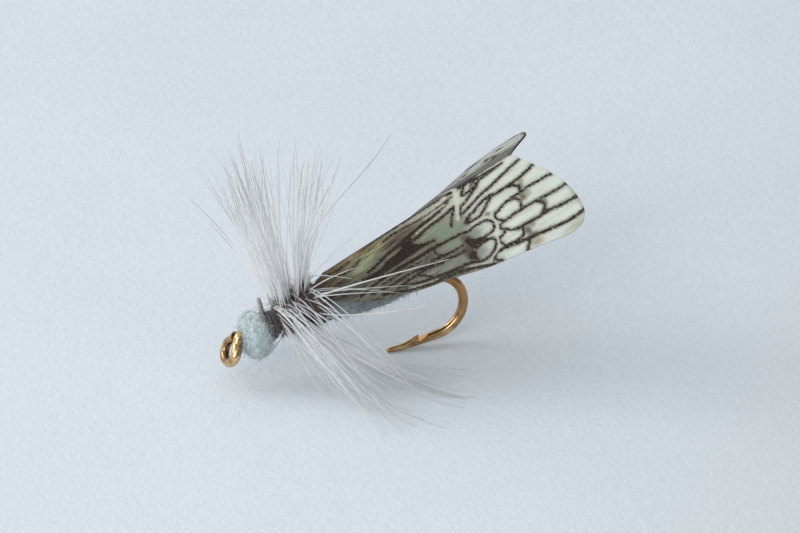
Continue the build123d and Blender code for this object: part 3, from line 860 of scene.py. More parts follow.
# tufts of standing barbs: x, y and z of the tips' middle, how many, and how far along the winding
UPPER_TUFTS = [
    (-0.3, 1.3, 10, 3, 0.3), (0, 2.6, 9.6, 4, 0.35), (0.1, 0.5, 10.5, 4, 0.35),
    (0.5, -0.2, 10.9, 5, 0.45), (0.8, 2.2, 10.7, 6, 0.5), (0.8, 1, 10.3, 6, 0.55),
    (1.2, 1.5, 11, 7, 0.65), (1.4, 0.2, 11.1, 8, 0.75), (1.9, 3.8, 9.7, 5, 0.85),
    (2.1, 0.6, 11, 6, 0.95), (1.3, 0.9, 9.4, 7, 0.65), (0.4, 1.2, 8.9, 5, 0.5),
    (2.5, 0.8, 10.2, 4, 1.1), (2.8, 2.4, 10.4, 3, 1.2), (3.3, -0.6, 9.9, 3, 1.35),
    (4, 4.4, 10.2, 2, 1.3), (3.6, 1, 11, 4, 1.5), (4, -0.4, 11.2, 5, 1.7), (5, 0.6, 11.3, 6, 1.9),
    (5.6, -0.2, 11.2, 5, 2.1), (4.5, 0.1, 10.2, 6, 1.8), (5, -1.2, 11.1, 5, 2),
    (5, -2.4, 10.8, 4, 2.2), (4.6, -3.5, 10.2, 3, 2.2),
]
# single long barbs: tip, place along the winding, bow to one side
UPPER_STRAYS = [
    (10.1, 2.3, 10.1, 2.2, 0.6), (1.9, 8.6, 2.9, 0.3, 0.1), (-1.05, 3.4, 7.75, 0.2, 0.3),
    (6.9, 1.4, 9.8, 2.2, 0.3),
]
# tufts that sweep back and down to the card: x, y, how many, place along the winding, brown share at
# the tips, and how far up the near side they are rooted, as a turn of the clock
LOWER_TUFTS = [
    (11.5, -4.7, 5, 1.3, 0.2, 0.4), (11.4, -5.6, 5, 1.3, 0.2, 0.6), (11.2, -4.4, 3, 1.4, 0.1, 0.2),
    (10.3, -5, 4, 1.2, 0.1, 0.6), (10.6, -6.3, 4, 1.1, 0.6, 0.8), (8.3, -8.7, 3, 0.9, 0.6, 0.7),
    (7.3, -7.4, 5, 0.8, 0.3, 0.8), (6.4, -7.9, 4, 0.5, 0.2, 0.7), (6.7, -5.7, 4, 0.7, 0.1, 0.7),
    (6.3, -4.8, 4, 0.7, 0.1, 0.7), (8.4, -5.6, 4, 1, 0.1, 0.8), (9.2, -4.6, 4, 1.2, 0.1, 0.7),
    (5.3, -4.1, 3, 0.3, 0.1, 0.8), (4.8, -3.3, 3, 0.2, 0, 0.7), (5.6, -5.4, 4, 0.2, 0.1, 0.8),
    (4.4, -3.6, 2, 0.2, 0, 0.6), (7.7, -2.6, 4, 1.8, 0.1, 0.4), (7.6, -1.2, 3, 1.9, 0, 0.2),
    (7.6, -3.4, 4, 1.2, 0, 0.6), (2.4, 4.2, 4, 0.6, 0, 0), (4.9, 5, 6, 1.3, 0, 0),
    (7, 6.6, 6, 1.9, 0, 0), (8.9, 5.6, 5, 2.1, 0, 0), (5.6, 1.2, 5, 1.2, 0, 0),
    (0.35, -0.1, 2, 0.15, 0.1, 0),
]
# single barbs across the near side of the winding: tip, place, turn of the clock, root radius
CROSSING = [
    (8.2, -3.8, -1.7, 2.15, 1.9, 0.05), (7, -5.2, -1.8, 1.15, 2.3, 0.052),
    (8.9, -5, -1.8, 2.2, 1.8, 0.04), (5, -2.9, 0.95, 0.12, 2, 0.046),
    (5.6, -3, 0.3, 0.16, 2.1, 0.04), (5.2, -3.2, -0.7, 0.12, 2.1, 0.05),
    (4.9, -4, -1.7, 0.14, 2.2, 0.04), (4.3, -4.2, -1.8, 0.1, 1.9, 0.048),
    (6.4, -5.6, -1.8, 0.15, 2, 0.052), (5.4, -4.6, -1.8, 1.05, 2.2, 0.038),
    (7.9, -4, -0.9, 1.1, 2, 0.034), (6.2, -3.3, -0.5, 1.2, 1.7, 0.028),
    (7.2, -2.9, 0.5, 1.6, 1.6, 0.032), (9.2, -4.4, -1.7, 2.1, 2.1, 0.036),
]
# single barbs that lie back along the wing and the body: the same values
SWEPT_BACK = [
    (11.3, -3.15, 4.95, 2.15, 0.5, 0.052), (6.2, -1.9, 4.15, 2.3, 0.9, 0.034),
    (9.3, -3.2, 3.85, 2.25, 0.8, 0.03), (8.1, -2.9, 3.35, 2.2, 0.6, 0.036),
    (7.8, -2.7, 3.55, 2.1, 0.8, 0.024), (8.9, -3.2, 3.3, 2.2, 0.7, 0.022),
    (10.2, -3.85, 2.85, 2.1, 0.2, 0.042), (6.9, -1.35, 4.35, 2.3, 0.3, 0.04),
    (8.8, 4, 3.4, 2.1, 0, 0.04), (9.9, 3.6, 2.4, 2.1, 0, 0.036), (8, 4.6, 4.6, 2, 0, 0.04),
    (8.8, -4.9, -1, 1.7, 0.9, 0.022), (8.6, 5.2, 0.6, 1.6, 0, 0.036),
    (7.4, -4.4, 0.9, 2.2, 0.9, 0.03),
]

def clock_of(tip, distance):
    """The clock angle at which a barb that ends at tip leaves the winding."""
    away = tip - thorax_axis(distance)
    return np.arctan2(-away[:, 1], away @ THORAX_UP)


def leaving(tips, distance, clock):
    """Roots of barbs on the winding, their reach to the tips, its length and the way out."""
    out = clock_direction(clock)
    roots = thorax_axis(distance) + out * (thorax_radius(distance) + STEM_CLEAR)[:, None]
    reach = tips - roots
    return roots, reach, np.linalg.norm(reach, axis=1, keepdims=True), out


def add_barbs(shape, paths, thick, tone, brown):
    """Tapered barbs, thicker at the root and very fine at the tip, kept above the card."""
    s = np.linspace(0, 1, paths.shape[1])
    radii = np.asarray(thick)[:, None] * (1.0 - 0.76 * s**1.5)[None]
    paths[..., 2] = np.maximum(paths[..., 2], FLOOR + radii + 0.004)
    sides = 5
    points, faces = tubes(paths, radii, sides)
    share = spread(np.broadcast_to(s, radii.shape), sides)
    tone, brown = (np.repeat(value, len(points) // len(paths)) for value in (tone, brown))
    shape.add(points, faces, share=share, tone=tone, brown=brown)


def barb_sizes(count, bold):
    """Root radius and paleness of each barb: fine greyish ones, and a share of bold white ones."""
    is_bold = RNG.random(count) < bold
    thick = np.where(is_bold, RNG.uniform(0.038, 0.050, count), RNG.uniform(0.018, 0.031, count))
    tone = np.where(is_bold, RNG.uniform(0.8, 1.0, count), RNG.uniform(0.0, 0.75, count))
    return thick, tone


def upper_barbs(material):
    """The standing fan of barbs, in a leaning front tuft and an upright rear tuft."""
    tips, distance, bows = [], [], []
    for *tip, number, at in UPPER_TUFTS:
        tips.append(np.array(tip) + RNG.normal(0, 1, (number, 3)) * (0.50, 0.65, 0.46))
        distance.append(np.clip(at + 0.10 + RNG.normal(0, 0.26, number), STEM_START, STEM_END - 0.1))
        bows.append(RNG.normal(0, 0.38, number))
    stray = np.array(UPPER_STRAYS)
    tips = np.vstack([*tips, stray[:, :3]])
    distance = np.concatenate([*distance, stray[:, 3]])
    bows = np.concatenate([*bows, stray[:, 4]])
    count = len(tips)
    clock = clock_of(tips, distance) + RNG.normal(0.16, 0.34, count)
    clock = np.minimum(clock, 0.98 - 0.30 * distance)  # none lies across the wing's front
    roots, reach, length, out = leaving(tips, distance, clock)
    first = roots + unit(out * 0.75 + unit(reach) * 0.45) * length * 0.36
    bow = unit(np.cross(reach, Y_AXIS)) * bows[:, None]
    second = roots + reach * 0.66 - bow + Y_AXIS * RNG.normal(0, 0.15, count)[:, None]
    second = second + out * length * 0.05
    thick, tone = barb_sizes(count, 0.26)
    brown = RNG.uniform(0, 0.40, count)
    thick[-len(stray):], brown[-len(stray):] = 0.042, 0.45
    shape = Shape()
    add_barbs(shape, bezier(roots, first, second, tips, 15), thick, tone, brown)
    shape.build("hackle_upper_fan", "hackle_upper_barbs", material)


def lower_barbs(material):
    """Barbs that the fly stands on, and barbs that lie back along the wing."""
    tips, distance, brown, turned = [], [], [], []
    for x, y, number, at, dark, turn in LOWER_TUFTS:
        spot = np.array((x, y, FLOOR)) + RNG.normal(0, 1, (number, 3)) * (0.55, 0.50, 0.0)
        spot[:, 2] = FLOOR + 0.015 + np.abs(RNG.normal(0, 0.16, number))
        tips.append(spot)
        distance.append(np.clip(at + RNG.normal(0, 0.20, number), STEM_START, STEM_END))
        brown.append(dark * RNG.uniform(0, 1.6, number))
        turned.append(turn + RNG.normal(0, 0.55, number) * (turn > 0))
    tips = np.vstack(tips)
    distance, brown, turned = (np.concatenate(values) for values in (distance, brown, turned))
    count = len(tips)
    clock = clock_of(tips, distance) - np.clip(turned, 0, 1.9)
    roots, reach, length, out = leaving(tips, distance, clock)
    first = roots + unit(out * 0.75 + unit(reach)) * length * 0.27
    level = unit(reach * (1, 1, 0))
    second = tips - level * length * 0.30 + Z_AXIS * RNG.uniform(0.10, 0.60, count)[:, None]
    aside = unit(np.cross(reach, out)) * length
    first = first + aside * RNG.normal(0, 0.05, count)[:, None]
    second = second + aside * RNG.normal(0, 0.05, count)[:, None]
    thick, tone = barb_sizes(count, 0.16)
    shape = Shape()
    add_barbs(shape, bezier(roots, first, second, tips, 16), thick, tone, np.clip(brown, 0, 0.8))
    add_close_barbs(shape, CROSSING, (0.3, 0.3, 0.2), 0.12)
    add_close_barbs(shape, SWEPT_BACK, (0.10, 0.06, 0.05), 0.06)
    shape.build("hackle_lower_sweep", "hackle_lower_barbs", material)


def add_close_barbs(shape, table, scatter, bow):
    """Barbs that lie close to the winding, one for each row of the table."""
    tips, (distance, turn, thick) = np.array(table)[:, :3], np.transpose(table)[3:]
    count = len(tips)
    tips = tips + RNG.normal(0, 1, tips.shape) * scatter
    distance = np.clip(distance + RNG.normal(0, 0.08, count), STEM_START, STEM_END)
    clock = clock_of(tips, distance) - turn - RNG.normal(0, 0.15, count) * (turn > 0)
    roots, reach, length, out = leaving(tips, distance, clock)
    first = roots + unit(out + unit(reach) * 1.2) * length * 0.26
    second = roots + reach * 0.68 + out * length * bow * RNG.uniform(0.5, 1.6, count)[:, None]
    tone = np.interp(thick, [0.025, 0.045], [0.3, 1.0])
    add_barbs(shape, bezier(roots, first, second, tips, 15), thick, tone, np.zeros(count))


# ---------------------------------------------------------------- wing

RIDGE_RISE = math.radians(25.24)
RIDGE_WAY = np.array((math.cos(RIDGE_RISE), 0, math.sin(RIDGE_RISE)))
RIDGE_DOWN = np.array((math.sin(RIDGE_RISE), 0, -math.cos(RIDGE_RISE)))
RIDGE_LENGTH, NECK_LENGTH = 12.0, 2.4
RIDGE_INSET = 2.54  # the ridge ends this far forward of the lobes' tips
ROOF_REAR, ROOF_FRONT = 28.5, 52.0  # slopes of the roof at the ridge's two ends, in degrees
FILM = 0.07
FOLD = 0.10  # the ridge is rounded by about this much
# the neck's sections: x and z of the ridge, half width, slope in degrees
NECK_STATIONS = [(3.22, 1.98, 0.36, 66.0), (3.95, 2.30, 0.46, 64.0), (4.75, 3.00, 0.95, 58.0)]
NECK_JOIN = (5.316, 3.644)  # x and z where the neck meets the roof
# columns of the neck and of the roof, and rows from the ridge to the margin
NECK_COLUMNS, ROOF_COLUMNS, ROWS = 22, 216, 74
# margins of one half: distance along the ridge from its rear end, distance across from it
OUTER_MARGIN = [
    (-12.0, 1.80), (-11.5, 2.25), (-10.6, 2.80), (-9.7, 3.20), (-8.0, 3.76), (-6.4, 4.22),
    (-5.0, 4.65), (-3.9, 4.95), (-2.05, 5.4), (-0.55, 5.72), (0.35, 5.88), (0.95, 5.80), (1.30, 5.60),
]
REAR_MARGIN = [
    (0.0, 0.0), (0.27, 0.49), (0.7, 1.25), (1.24, 2.3), (1.60, 3.3), (1.72, 4.3), (1.62, 5.1),
    (1.30, 5.60),
]


def points_of(row):
    """Points from a flat row of hundredths of a millimetre."""
    return np.reshape(row, (-1, 2)) / 100


def print_lines(rows):
    """Lines as half width and points, from rows that start with the half width."""
    return [(row[0] / 100, points_of(row[1:])) for row in rows]


# The print on one half of the wing, in hundredths of a millimetre and the same two distances.
# Veins: half width, then the points of the line.
VEINS = print_lines([
    # rear fan
    (5.5, -300, 0, -315, 22, -345, 52, -330, 60, -290, 54, -250, 44, -200, 28, -150, 26, -100, 20,
     -62, 14),
    (4.5, -275, 32, -245, 22),
    (7.5, -405, 2, -360, 6, -310, 5, -250, 9, -190, 13, -130, 16, -80, 17),
    (6, -420, 165, -400, 130, -387, 112, -350, 103, -310, 83, -270, 66, -240, 46),
    (6.2, -395, 150, -340, 138, -290, 122, -240, 108, -190, 102, -140, 90, -90, 78, -40, 68, 5, 60,
     35, 54),
    (6.2, -410, 205, -385, 188, -340, 176, -300, 160, -260, 148, -220, 146, -190, 155),
    (7.2, -240, 150, -190, 156, -130, 156, -70, 157, -20, 152, 30, 143, 74, 127),
    (5.8, -410, 208, -380, 216, -330, 218, -295, 203, -270, 187, -245, 172, -220, 160),
    (7, -120, 158, -85, 170, -62, 192, -66, 210, -68, 232),
    (6, -250, 256, -210, 244, -170, 234, -120, 231, -66, 233, -20, 229, 40, 233, 126, 233),
    (6, -150, 236, -110, 248, -99, 275, -108, 300, -120, 318),
    (6, -250, 254, -260, 275, -250, 300, -230, 318),
    (6.2, -260, 322, -210, 320, -150, 321, -90, 323, -20, 327, 50, 332, 110, 332, 168, 328),
    (6.5, -35, 328, -10, 342, 0, 365, -10, 388, -35, 405),
    (5.8, -260, 324, -270, 345, -252, 362, -225, 387, -190, 402),
    (7, -195, 404, -130, 408, -70, 413, 0, 411, 70, 420, 130, 425, 177, 425),
    (5.8, -302, 384, -275, 380, -255, 366),
    (6, -302, 384, -310, 410, -300, 438, -280, 450),
    (6.5, -360, 446, -320, 444, -280, 450, -240, 456, -200, 456, -176, 442, -170, 415),
    (7.2, -320, 444, -260, 462, -210, 476, -160, 488, -120, 494, -70, 502, -10, 510, 50, 518, 110,
     520, 155, 514),
    (6.8, -214, 538, -195, 515, -175, 498, -162, 488),
    (7, -365, 448, -395, 464, -380, 480, -355, 497),
    # the two rounded cells forward of the bare line
    (6, -415, 258, -390, 250, -350, 250, -315, 255, -290, 272, -283, 295, -292, 318, -320, 332,
     -370, 333, -410, 320),
    (6.2, -440, 362, -410, 355, -380, 352, -342, 356, -324, 376, -332, 400, -355, 422, -390, 435,
     -430, 440, -465, 432),
    # forward lines, from the ridge outwards
    (3, -920, 2, -750, 5, -600, 2, -460, 3),
    (3.4, -840, 36, -760, 30, -680, 36, -600, 42, -520, 42, -450, 38, -390, 27),
    (2.8, -1190, 30, -1110, 36, -1050, 30),
    (3, -1160, 62, -1090, 72, -1040, 66, -990, 52),
    (8, -995, 138, -930, 128, -870, 113, -790, 101, -720, 90, -660, 82),
    (6.2, -680, 84, -600, 72, -550, 68, -500, 60, -450, 50, -422, 40),
    (2.8, -630, 80, -580, 80, -530, 72, -490, 70),
    (6.6, -750, 127, -700, 123, -650, 117, -610, 108, -560, 104, -500, 103, -460, 97, -414, 88),
    (5.8, -414, 88, -428, 108, -450, 128, -466, 152, -482, 176),
    (7, -1095, 226, -1030, 217, -940, 213, -860, 212),
    (9.5, -860, 213, -790, 215, -720, 218, -650, 221, -600, 226),
    (7.2, -610, 224, -560, 233, -510, 238, -470, 244, -430, 254),
    (3.4, -970, 238, -880, 242, -790, 240, -720, 248),
    (5.8, -1040, 250, -990, 262, -920, 269, -850, 268, -790, 271, -740, 280, -690, 292, -650, 302),
    (6, -675, 274, -630, 286, -590, 298, -530, 305, -490, 306),
    (5, -622, 230, -636, 252, -622, 275, -600, 292),
    (5.8, -905, 300, -840, 297, -780, 296, -730, 298, -680, 308, -625, 322),
    (5, -620, 314, -580, 324, -540, 336, -490, 342),
    (7, -880, 306, -830, 324, -780, 342, -720, 360, -660, 378, -600, 395, -540, 403, -500, 412,
     -460, 430),
    (7.4, -990, 286, -940, 308, -890, 330, -830, 350, -770, 370, -710, 388, -650, 403, -590, 417,
     -530, 435, -480, 455, -430, 477, -398, 488),
    (3, -690, 384, -620, 402, -550, 416),
    (5, -775, 299, -750, 322, -715, 355),
    (3.6, -1120, 270, -1070, 278, -1020, 292),
])
# filled dark areas: the points of a closed outline
PATCHES = [points_of(row) for row in (
    (-1045, 150, -990, 156, -930, 160, -870, 142, -810, 134, -760, 120, -790, 106, -700, 98, -695,
     114, -720, 126, -702, 144, -660, 168, -620, 180, -595, 180, -595, 196, -630, 190, -690, 185,
     -760, 188, -840, 191, -920, 192, -990, 190, -1040, 172),
    (-410, 198, -386, 186, -376, 198, -386, 220, -402, 222),
    (-472, 290, -442, 284, -422, 312, -380, 336, -345, 340, -395, 346, -430, 350, -452, 360, -460,
     334),
    (-488, 366, -462, 358, -446, 374, -456, 400, -452, 422, -476, 414, -492, 390),
)]
# cream lines that the print leaves bare: half width, then the points
BARE_LINES = print_lines([
    (3, -210, 3, -120, 5, -20, 6),
    (12.5, -360, 5, -372, 40, -388, 75),
    (9.2, -388, 75, -402, 105, -418, 135, -432, 168),
    (2.6, -660, 99, -600, 90, -540, 86, -480, 79, -430, 68, -392, 66),
    (3, -590, 56, -520, 50, -450, 47),
    (3.6, -320, 238, -292, 242, -276, 260, -272, 290, -274, 320, -290, 346, -308, 368, -314, 395,
     -326, 420, -355, 438, -390, 452, -412, 466),
    (3.4, -390, 236, -340, 235, -295, 242),
    (3.4, -350, 344, -320, 344, -290, 350),
    (2.6, -520, 424, -480, 438, -440, 456, -405, 468),
    (1.6, -850, 334, -800, 350, -750, 366, -700, 380),
    (2.6, -370, 124, -320, 112, -270, 92),
    (2.2, -360, 160, -310, 142, -260, 126),
])
# soft tints over the film, one of them a painted highlight, in millimetres: centre, half sizes, red, green,
# blue, strength
TINTS = [
    (-12, 0.6, 2, 1, 0.16, 0.112, 0.066, 1), (-11, 0.3, 1.5, 0.42, 0.285, 0.2, 0.115, 0.85),
    (-10.9, 0.85, 0.8, 0.25, 0.12, 0.1, 0.06, 0.7),
    (-9.9, 0.8, 1.05, 0.45, 0.475, 0.54, 0.33, 0.95), (-9, 0.55, 0.8, 0.26, 0.56, 0.59, 0.31, 0.85),
    (-9.6, 0.15, 1.6, 0.2, 0.4, 0.31, 0.185, 0.85), (-8.2, 0.42, 0.8, 0.16, 0.52, 0.48, 0.24, 0.7),
    (-7.6, 0.68, 1.3, 0.24, 0.15, 0.1, 0.07, 0.9), (-7.7, 0.12, 1, 0.14, 0.47, 0.48, 0.35, 0.8),
    (-6.6, 0.16, 1.1, 0.18, 0.64, 0.64, 0.52, 0.85), (-4.9, 0.22, 1.6, 0.4, 0.8, 0.8, 0.69, 0.97),
    (-8.9, 1.45, 0.9, 0.1, 0.2, 0.19, 0.11, 0.9), (-7.6, 1.14, 0.7, 0.12, 0.07, 0.045, 0.035, 0.9),
    (-5.7, 1.5, 1.15, 0.42, 0.39, 0.445, 0.315, 1), (-5, 1.95, 1, 0.34, 0.325, 0.4, 0.295, 0.95),
    (-4.3, 2.15, 0.45, 0.22, 0.31, 0.35, 0.26, 0.8), (-4.15, 1.5, 0.3, 0.35, 0.42, 0.45, 0.4, 0.7),
    (-7.8, 2, 1.6, 0.055, 0.23, 0.235, 0.18, 0.9),
    (-8.4, 2.45, 1.9, 0.22, 0.215, 0.225, 0.195, 0.9),
    (-10.2, 2.4, 0.7, 0.2, 0.28, 0.29, 0.27, 0.8), (-11.1, 2, 0.7, 0.35, 0.12, 0.11, 0.07, 0.85),
    (-11.7, 1.75, 0.3, 0.2, 0.045, 0.04, 0.02, 0.8),
    (-10.6, 1.75, 0.45, 0.35, 0.16, 0.14, 0.14, 0.8),
    (-6.7, 2.52, 0.4, 0.22, 0.15, 0.15, 0.12, 0.85),
    (-5.35, 2.68, 0.75, 0.22, 0.34, 0.39, 0.31, 0.95),
    (-4.65, 2.72, 0.2, 0.25, 0.14, 0.15, 0.08, 0.7), (-8.3, 2.84, 0.9, 0.07, 0.24, 0.25, 0.21, 0.8),
    (-7.4, 2.88, 0.5, 0.12, 0.07, 0.06, 0.05, 0.7), (-7.3, 3.26, 1.1, 0.18, 0.35, 0.4, 0.38, 0.9),
    (-5.8, 3.6, 1, 0.22, 0.36, 0.4, 0.34, 0.95), (-5.2, 3.26, 0.65, 0.16, 0.12, 0.095, 0.085, 0.75),
    (-4.85, 3.65, 0.25, 0.5, 0.06, 0.05, 0.04, 0.85),
    (-4.46, 3.1, 0.38, 0.5, 0.085, 0.066, 0.046, 0.97),
    (-3.9, 3.42, 0.5, 0.16, 0.085, 0.066, 0.046, 0.95),
    (-4.72, 3.82, 0.3, 0.48, 0.08, 0.062, 0.044, 0.95),
    (-1.45, 4.84, 0.34, 0.16, 0.075, 0.052, 0.036, 0.95),
    (-0.2, 4, 0.2, 0.16, 0.06, 0.045, 0.034, 0.9), (-4.25, 3.9, 0.38, 0.28, 0.36, 0.395, 0.36, 0.9),
    (-3.95, 2.9, 0.34, 0.27, 0.38, 0.44, 0.41, 0.9), (-8.6, 3.62, 1.5, 0.1, 0.42, 0.43, 0.38, 0.8),
    (-6.2, 4.12, 1.4, 0.1, 0.32, 0.32, 0.27, 0.7), (-0.38, 1.78, 0.18, 0.16, 0.42, 0.4, 0.2, 0.8),
    (-0.5, 2.05, 0.16, 0.22, 0.2, 0.19, 0.12, 0.7), (-0.74, 2.62, 0.2, 0.28, 0.15, 0.11, 0.06, 0.9),
    (-0.45, 2.6, 0.25, 0.25, 0.34, 0.34, 0.22, 0.6), (0.1, 3.52, 0.14, 0.3, 0.3, 0.31, 0.17, 0.8),
    (-1.15, 4.25, 0.22, 0.22, 0.36, 0.29, 0.16, 0.8),
    (-1.52, 4.45, 0.2, 0.3, 0.115, 0.085, 0.055, 0.9),
    (-1.45, 5.25, 0.34, 0.2, 0.5, 0.4, 0.26, 0.8), (-2.85, 2.32, 0.16, 0.14, 0.16, 0.21, 0.11, 0.8),
    (0.9, 5.62, 0.9, 0.2, 0.52, 0.55, 0.4, 0.6), (1.62, 4.3, 0.12, 1.5, 0.5, 0.54, 0.42, 0.6),
    # the first tint on the next line, a small near-white streak at the rear margin, is a painted highlight
    (1.45, 4.92, 0.05, 0.2, 0.92, 0.92, 0.84, 0.9), (-3.4, 0.95, 0.6, 0.6, 0.78, 0.78, 0.68, 0.7),
]
# the far half is printed heavier by FAR_SPREAD, its rear edge is dark, and its film is painted darker towards
# the ridge: painted shade
FAR_SPREAD = 0.04
FAR_VEINS = print_lines([
    (10, 25, 45, 70, 125, 124, 230, 160, 330, 172, 430, 160, 515, 125, 560),
    (9, -550, 30, -300, 22, -100, 14, 10, 10),
]) + [(0.05, np.array(OUTER_MARGIN[4:]))]
FAR_PAINTED_SHADE, FAR_PAINTED_SHADE_END = 0.70, 2.4
FILM_FRONT, FILM_REAR = np.array((0.255, 0.25, 0.20)), np.array((0.85, 0.88, 0.81))
NECK_TINT = (0.160, 0.112, 0.066)
FAR_AWAY = 9.0  # a distance larger than any on the wing


def segment_distance(spots, a, b):
    """Distance of each spot from the line between a and b."""
    share = np.clip((spots - a) @ (b - a) / max((b - a) @ (b - a), 1e-9), 0, 1)
    return np.linalg.norm(spots - a - share[:, None] * (b - a), axis=1)


def line_field(spots, lines):
    """Distance outside the nearest of several lines with width; negative inside it."""
    best = np.full(len(spots), FAR_AWAY)
    for half, points in lines:
        for a, b in zip(points, points[1:]):
            best = np.minimum(best, segment_distance(spots, a, b) - half)
    return best


def patch_field(spots, outline):
    """Signed distance from a closed outline, negative inside."""
    inside = np.zeros(len(spots), bool)
    edge = np.full(len(spots), FAR_AWAY)
    for a, b in zip(outline, np.roll(outline, -1, axis=0)):
        edge = np.minimum(edge, segment_distance(spots, a, b))
        if a[1] != b[1]:
            crosses = (a[1] > spots[:, 1]) != (b[1] > spots[:, 1])
            inside ^= crosses & (spots[:, 0] < (b[0] - a[0]) * (spots[:, 1] - a[1]) / (b[1] - a[1]) + a[0])
    return np.where(inside, -edge, edge)


def film_tints(spots):
    """The film's colour at each spot: olive at the front, pale at the rear, and soft tints, one of them a
    painted highlight.
    """
    share = np.clip((spots[:, :1] + 6.5) / 4.0, 0, 1)
    share = share * share * (3 - 2 * share)
    tint = FILM_FRONT * (1 - share) + FILM_REAR * share
    for *place, red, green, blue, strength in TINTS:
        a, b, size_a, size_b = place
        reach = ((spots[:, 0] - a) / size_a) ** 2 + ((spots[:, 1] - b) / size_b) ** 2
        weight = (strength * np.exp(-(reach**1.6)))[:, None]
        tint = tint * (1 - weight) + np.array((red, green, blue)) * weight
    return tint


def print_fields(spots, side):
    """Ink, bare and tint values of the print at (along, across) spots of one half; on the far half the tint
    also holds painted shade towards the ridge.
    """
    ink = line_field(spots, VEINS)
    for outline in PATCHES:
        ink = np.minimum(ink, patch_field(spots, outline))
    tint = film_tints(spots)
    if side > 0:
        ink = np.minimum(ink - FAR_SPREAD, line_field(spots, FAR_VEINS))
        # painted shade on the far half, deepest at the ridge
        tint = tint * (1 - FAR_PAINTED_SHADE * np.clip(FAR_PAINTED_SHADE_END - spots[:, 1:], 0, 1))
    return ink, line_field(spots, BARE_LINES), tint


def along_margin(margin, count):
    """Points at even distances along a margin."""
    fine = smooth_path(margin, 0.02)
    length = np.concatenate([[0], np.cumsum(np.linalg.norm(np.diff(fine, axis=0), axis=1))])
    at = np.linspace(0, 1, count) * length[-1]
    return np.stack([np.interp(at, length, fine[:, k]) for k in range(2)], -1)


def half_grid():
    """Spots of one half as a Coons patch between its four edges: (columns, rows, 2)."""
    u = np.linspace(0, 1, ROOF_COLUMNS)[:, None, None]
    v = np.linspace(0, 1, ROWS)[None, :, None]
    outer = along_margin(OUTER_MARGIN, ROOF_COLUMNS)[:, None]
    rear = along_margin(REAR_MARGIN, ROWS)[None]
    ridge = np.stack([np.linspace(-RIDGE_LENGTH, 0, ROOF_COLUMNS), np.zeros(ROOF_COLUMNS)], -1)[:, None]
    front = np.stack([np.full(ROWS, -RIDGE_LENGTH), np.linspace(0, OUTER_MARGIN[0][1], ROWS)], -1)[None]
    corners = (1 - u) * ((1 - v) * ridge[:1] + v * outer[:1]) + u * ((1 - v) * ridge[-1:] + v * outer[-1:])
    return (1 - v) * ridge + v * outer + (1 - u) * front + u * rear - corners


def drop_shape(across):
    """Distance across with the fold at the ridge rounded."""
    return np.sqrt(across**2 + FOLD**2) - FOLD


def below(ridge, drop, aside):
    """Points lowered from the ridge by drop and moved sideways by aside."""
    return ridge + RIDGE_DOWN * drop[..., None] + Y_AXIS * aside[..., None]


def roof_points(spots, side):
    """The film's middle surface over the body: spots are (along, across)."""
    along, across = spots[..., 0], spots[..., 1]
    share = np.clip(-along / RIDGE_LENGTH, 0, None) ** 1.5
    slope = np.radians(ROOF_REAR + (ROOF_FRONT - ROOF_REAR) * share)
    camber = 0.10 * np.sin(np.clip(across / 5.5, 0, 1) * math.pi)
    ripple = 0.035 * np.sin(along * 1.35 + across * 0.8) * np.clip(across / 3, 0, 1)
    drop = drop_shape(across) * np.sin(slope) - (camber + ripple) * np.cos(slope)
    high = box_mm("wing")[1]
    tail = np.array((high[0] - RIDGE_INSET, 0.0, high[2]))
    return below(tail + RIDGE_WAY * along[..., None], drop, side * across * np.cos(slope))


def neck_points(side):
    """The film's narrow neck, forward of the roof."""
    stations = np.array([*NECK_STATIONS, (*NECK_JOIN, OUTER_MARGIN[0][1], ROOF_FRONT)])
    t = np.linspace(0, 1, NECK_COLUMNS, endpoint=False)
    keys = np.linspace(0, 1, len(stations))
    x, z, half, slope = (np.interp(t, keys, stations[:, k]) for k in range(4))
    across = half[:, None] * np.linspace(0, 1, ROWS)[None]
    slope = np.radians(slope)[:, None]
    ridge = np.stack([x, 0 * x, z], -1)[:, None]
    return below(ridge, drop_shape(across) * np.sin(slope), side * across * np.cos(slope))


def sheet_faces(columns, rows):
    """Faces of a closed film: an upper grid, a lower grid after it, and the rim between."""
    i, j = np.meshgrid(np.arange(columns - 1), np.arange(rows - 1), indexing="ij")
    a = i * rows + j
    top = np.stack([a, a + rows, a + rows + 1, a + 1], -1).reshape(-1, 4)
    under = top[:, ::-1] + columns * rows
    first, last = np.arange(rows), np.arange(rows) + (columns - 1) * rows
    left, right = np.arange(columns) * rows, np.arange(columns) * rows + rows - 1
    rims = []
    for edge, flip in ((first, False), (last, True), (left, True), (right, False)):
        rim = np.stack([edge[:-1], edge[1:], edge[1:] + columns * rows, edge[:-1] + columns * rows], -1)
        rims.append(rim[:, ::-1] if flip else rim)
    return [top, under, *rims]


def wing_half(side):
    """Middle surface of one half with its neck, and the values of its print, with painted shade on the far
    half.
    """
    roof = half_grid()
    grid = np.concatenate([neck_points(side), roof_points(roof, side)])
    spots = roof.reshape(-1, 2)
    ink, bare, tint = print_fields(spots, side)
    blank = np.ones(NECK_COLUMNS * ROWS)  # the neck has no print
    neck_along = np.repeat(np.linspace(-RIDGE_LENGTH - NECK_LENGTH, -RIDGE_LENGTH, NECK_COLUMNS), ROWS)
    neck = np.stack([neck_along, np.tile(np.linspace(0, 1, ROWS), NECK_COLUMNS)], -1)
    flat = np.vstack([neck, spots])
    values = {
        "ink": np.concatenate([blank, ink]),
        "bare": np.concatenate([blank, bare]),
        "tint": np.vstack([blank[:, None] * NECK_TINT, tint]),
        "front": np.clip((-4.4 - flat[:, 0]) / 3.4, 0.05, 1),
        "spot": np.column_stack([flat[:, 0], flat[:, 1] * side, np.zeros(len(flat))]),
    }
    return grid, {key: value.reshape(grid.shape[:2] + value.shape[1:]) for key, value in values.items()}


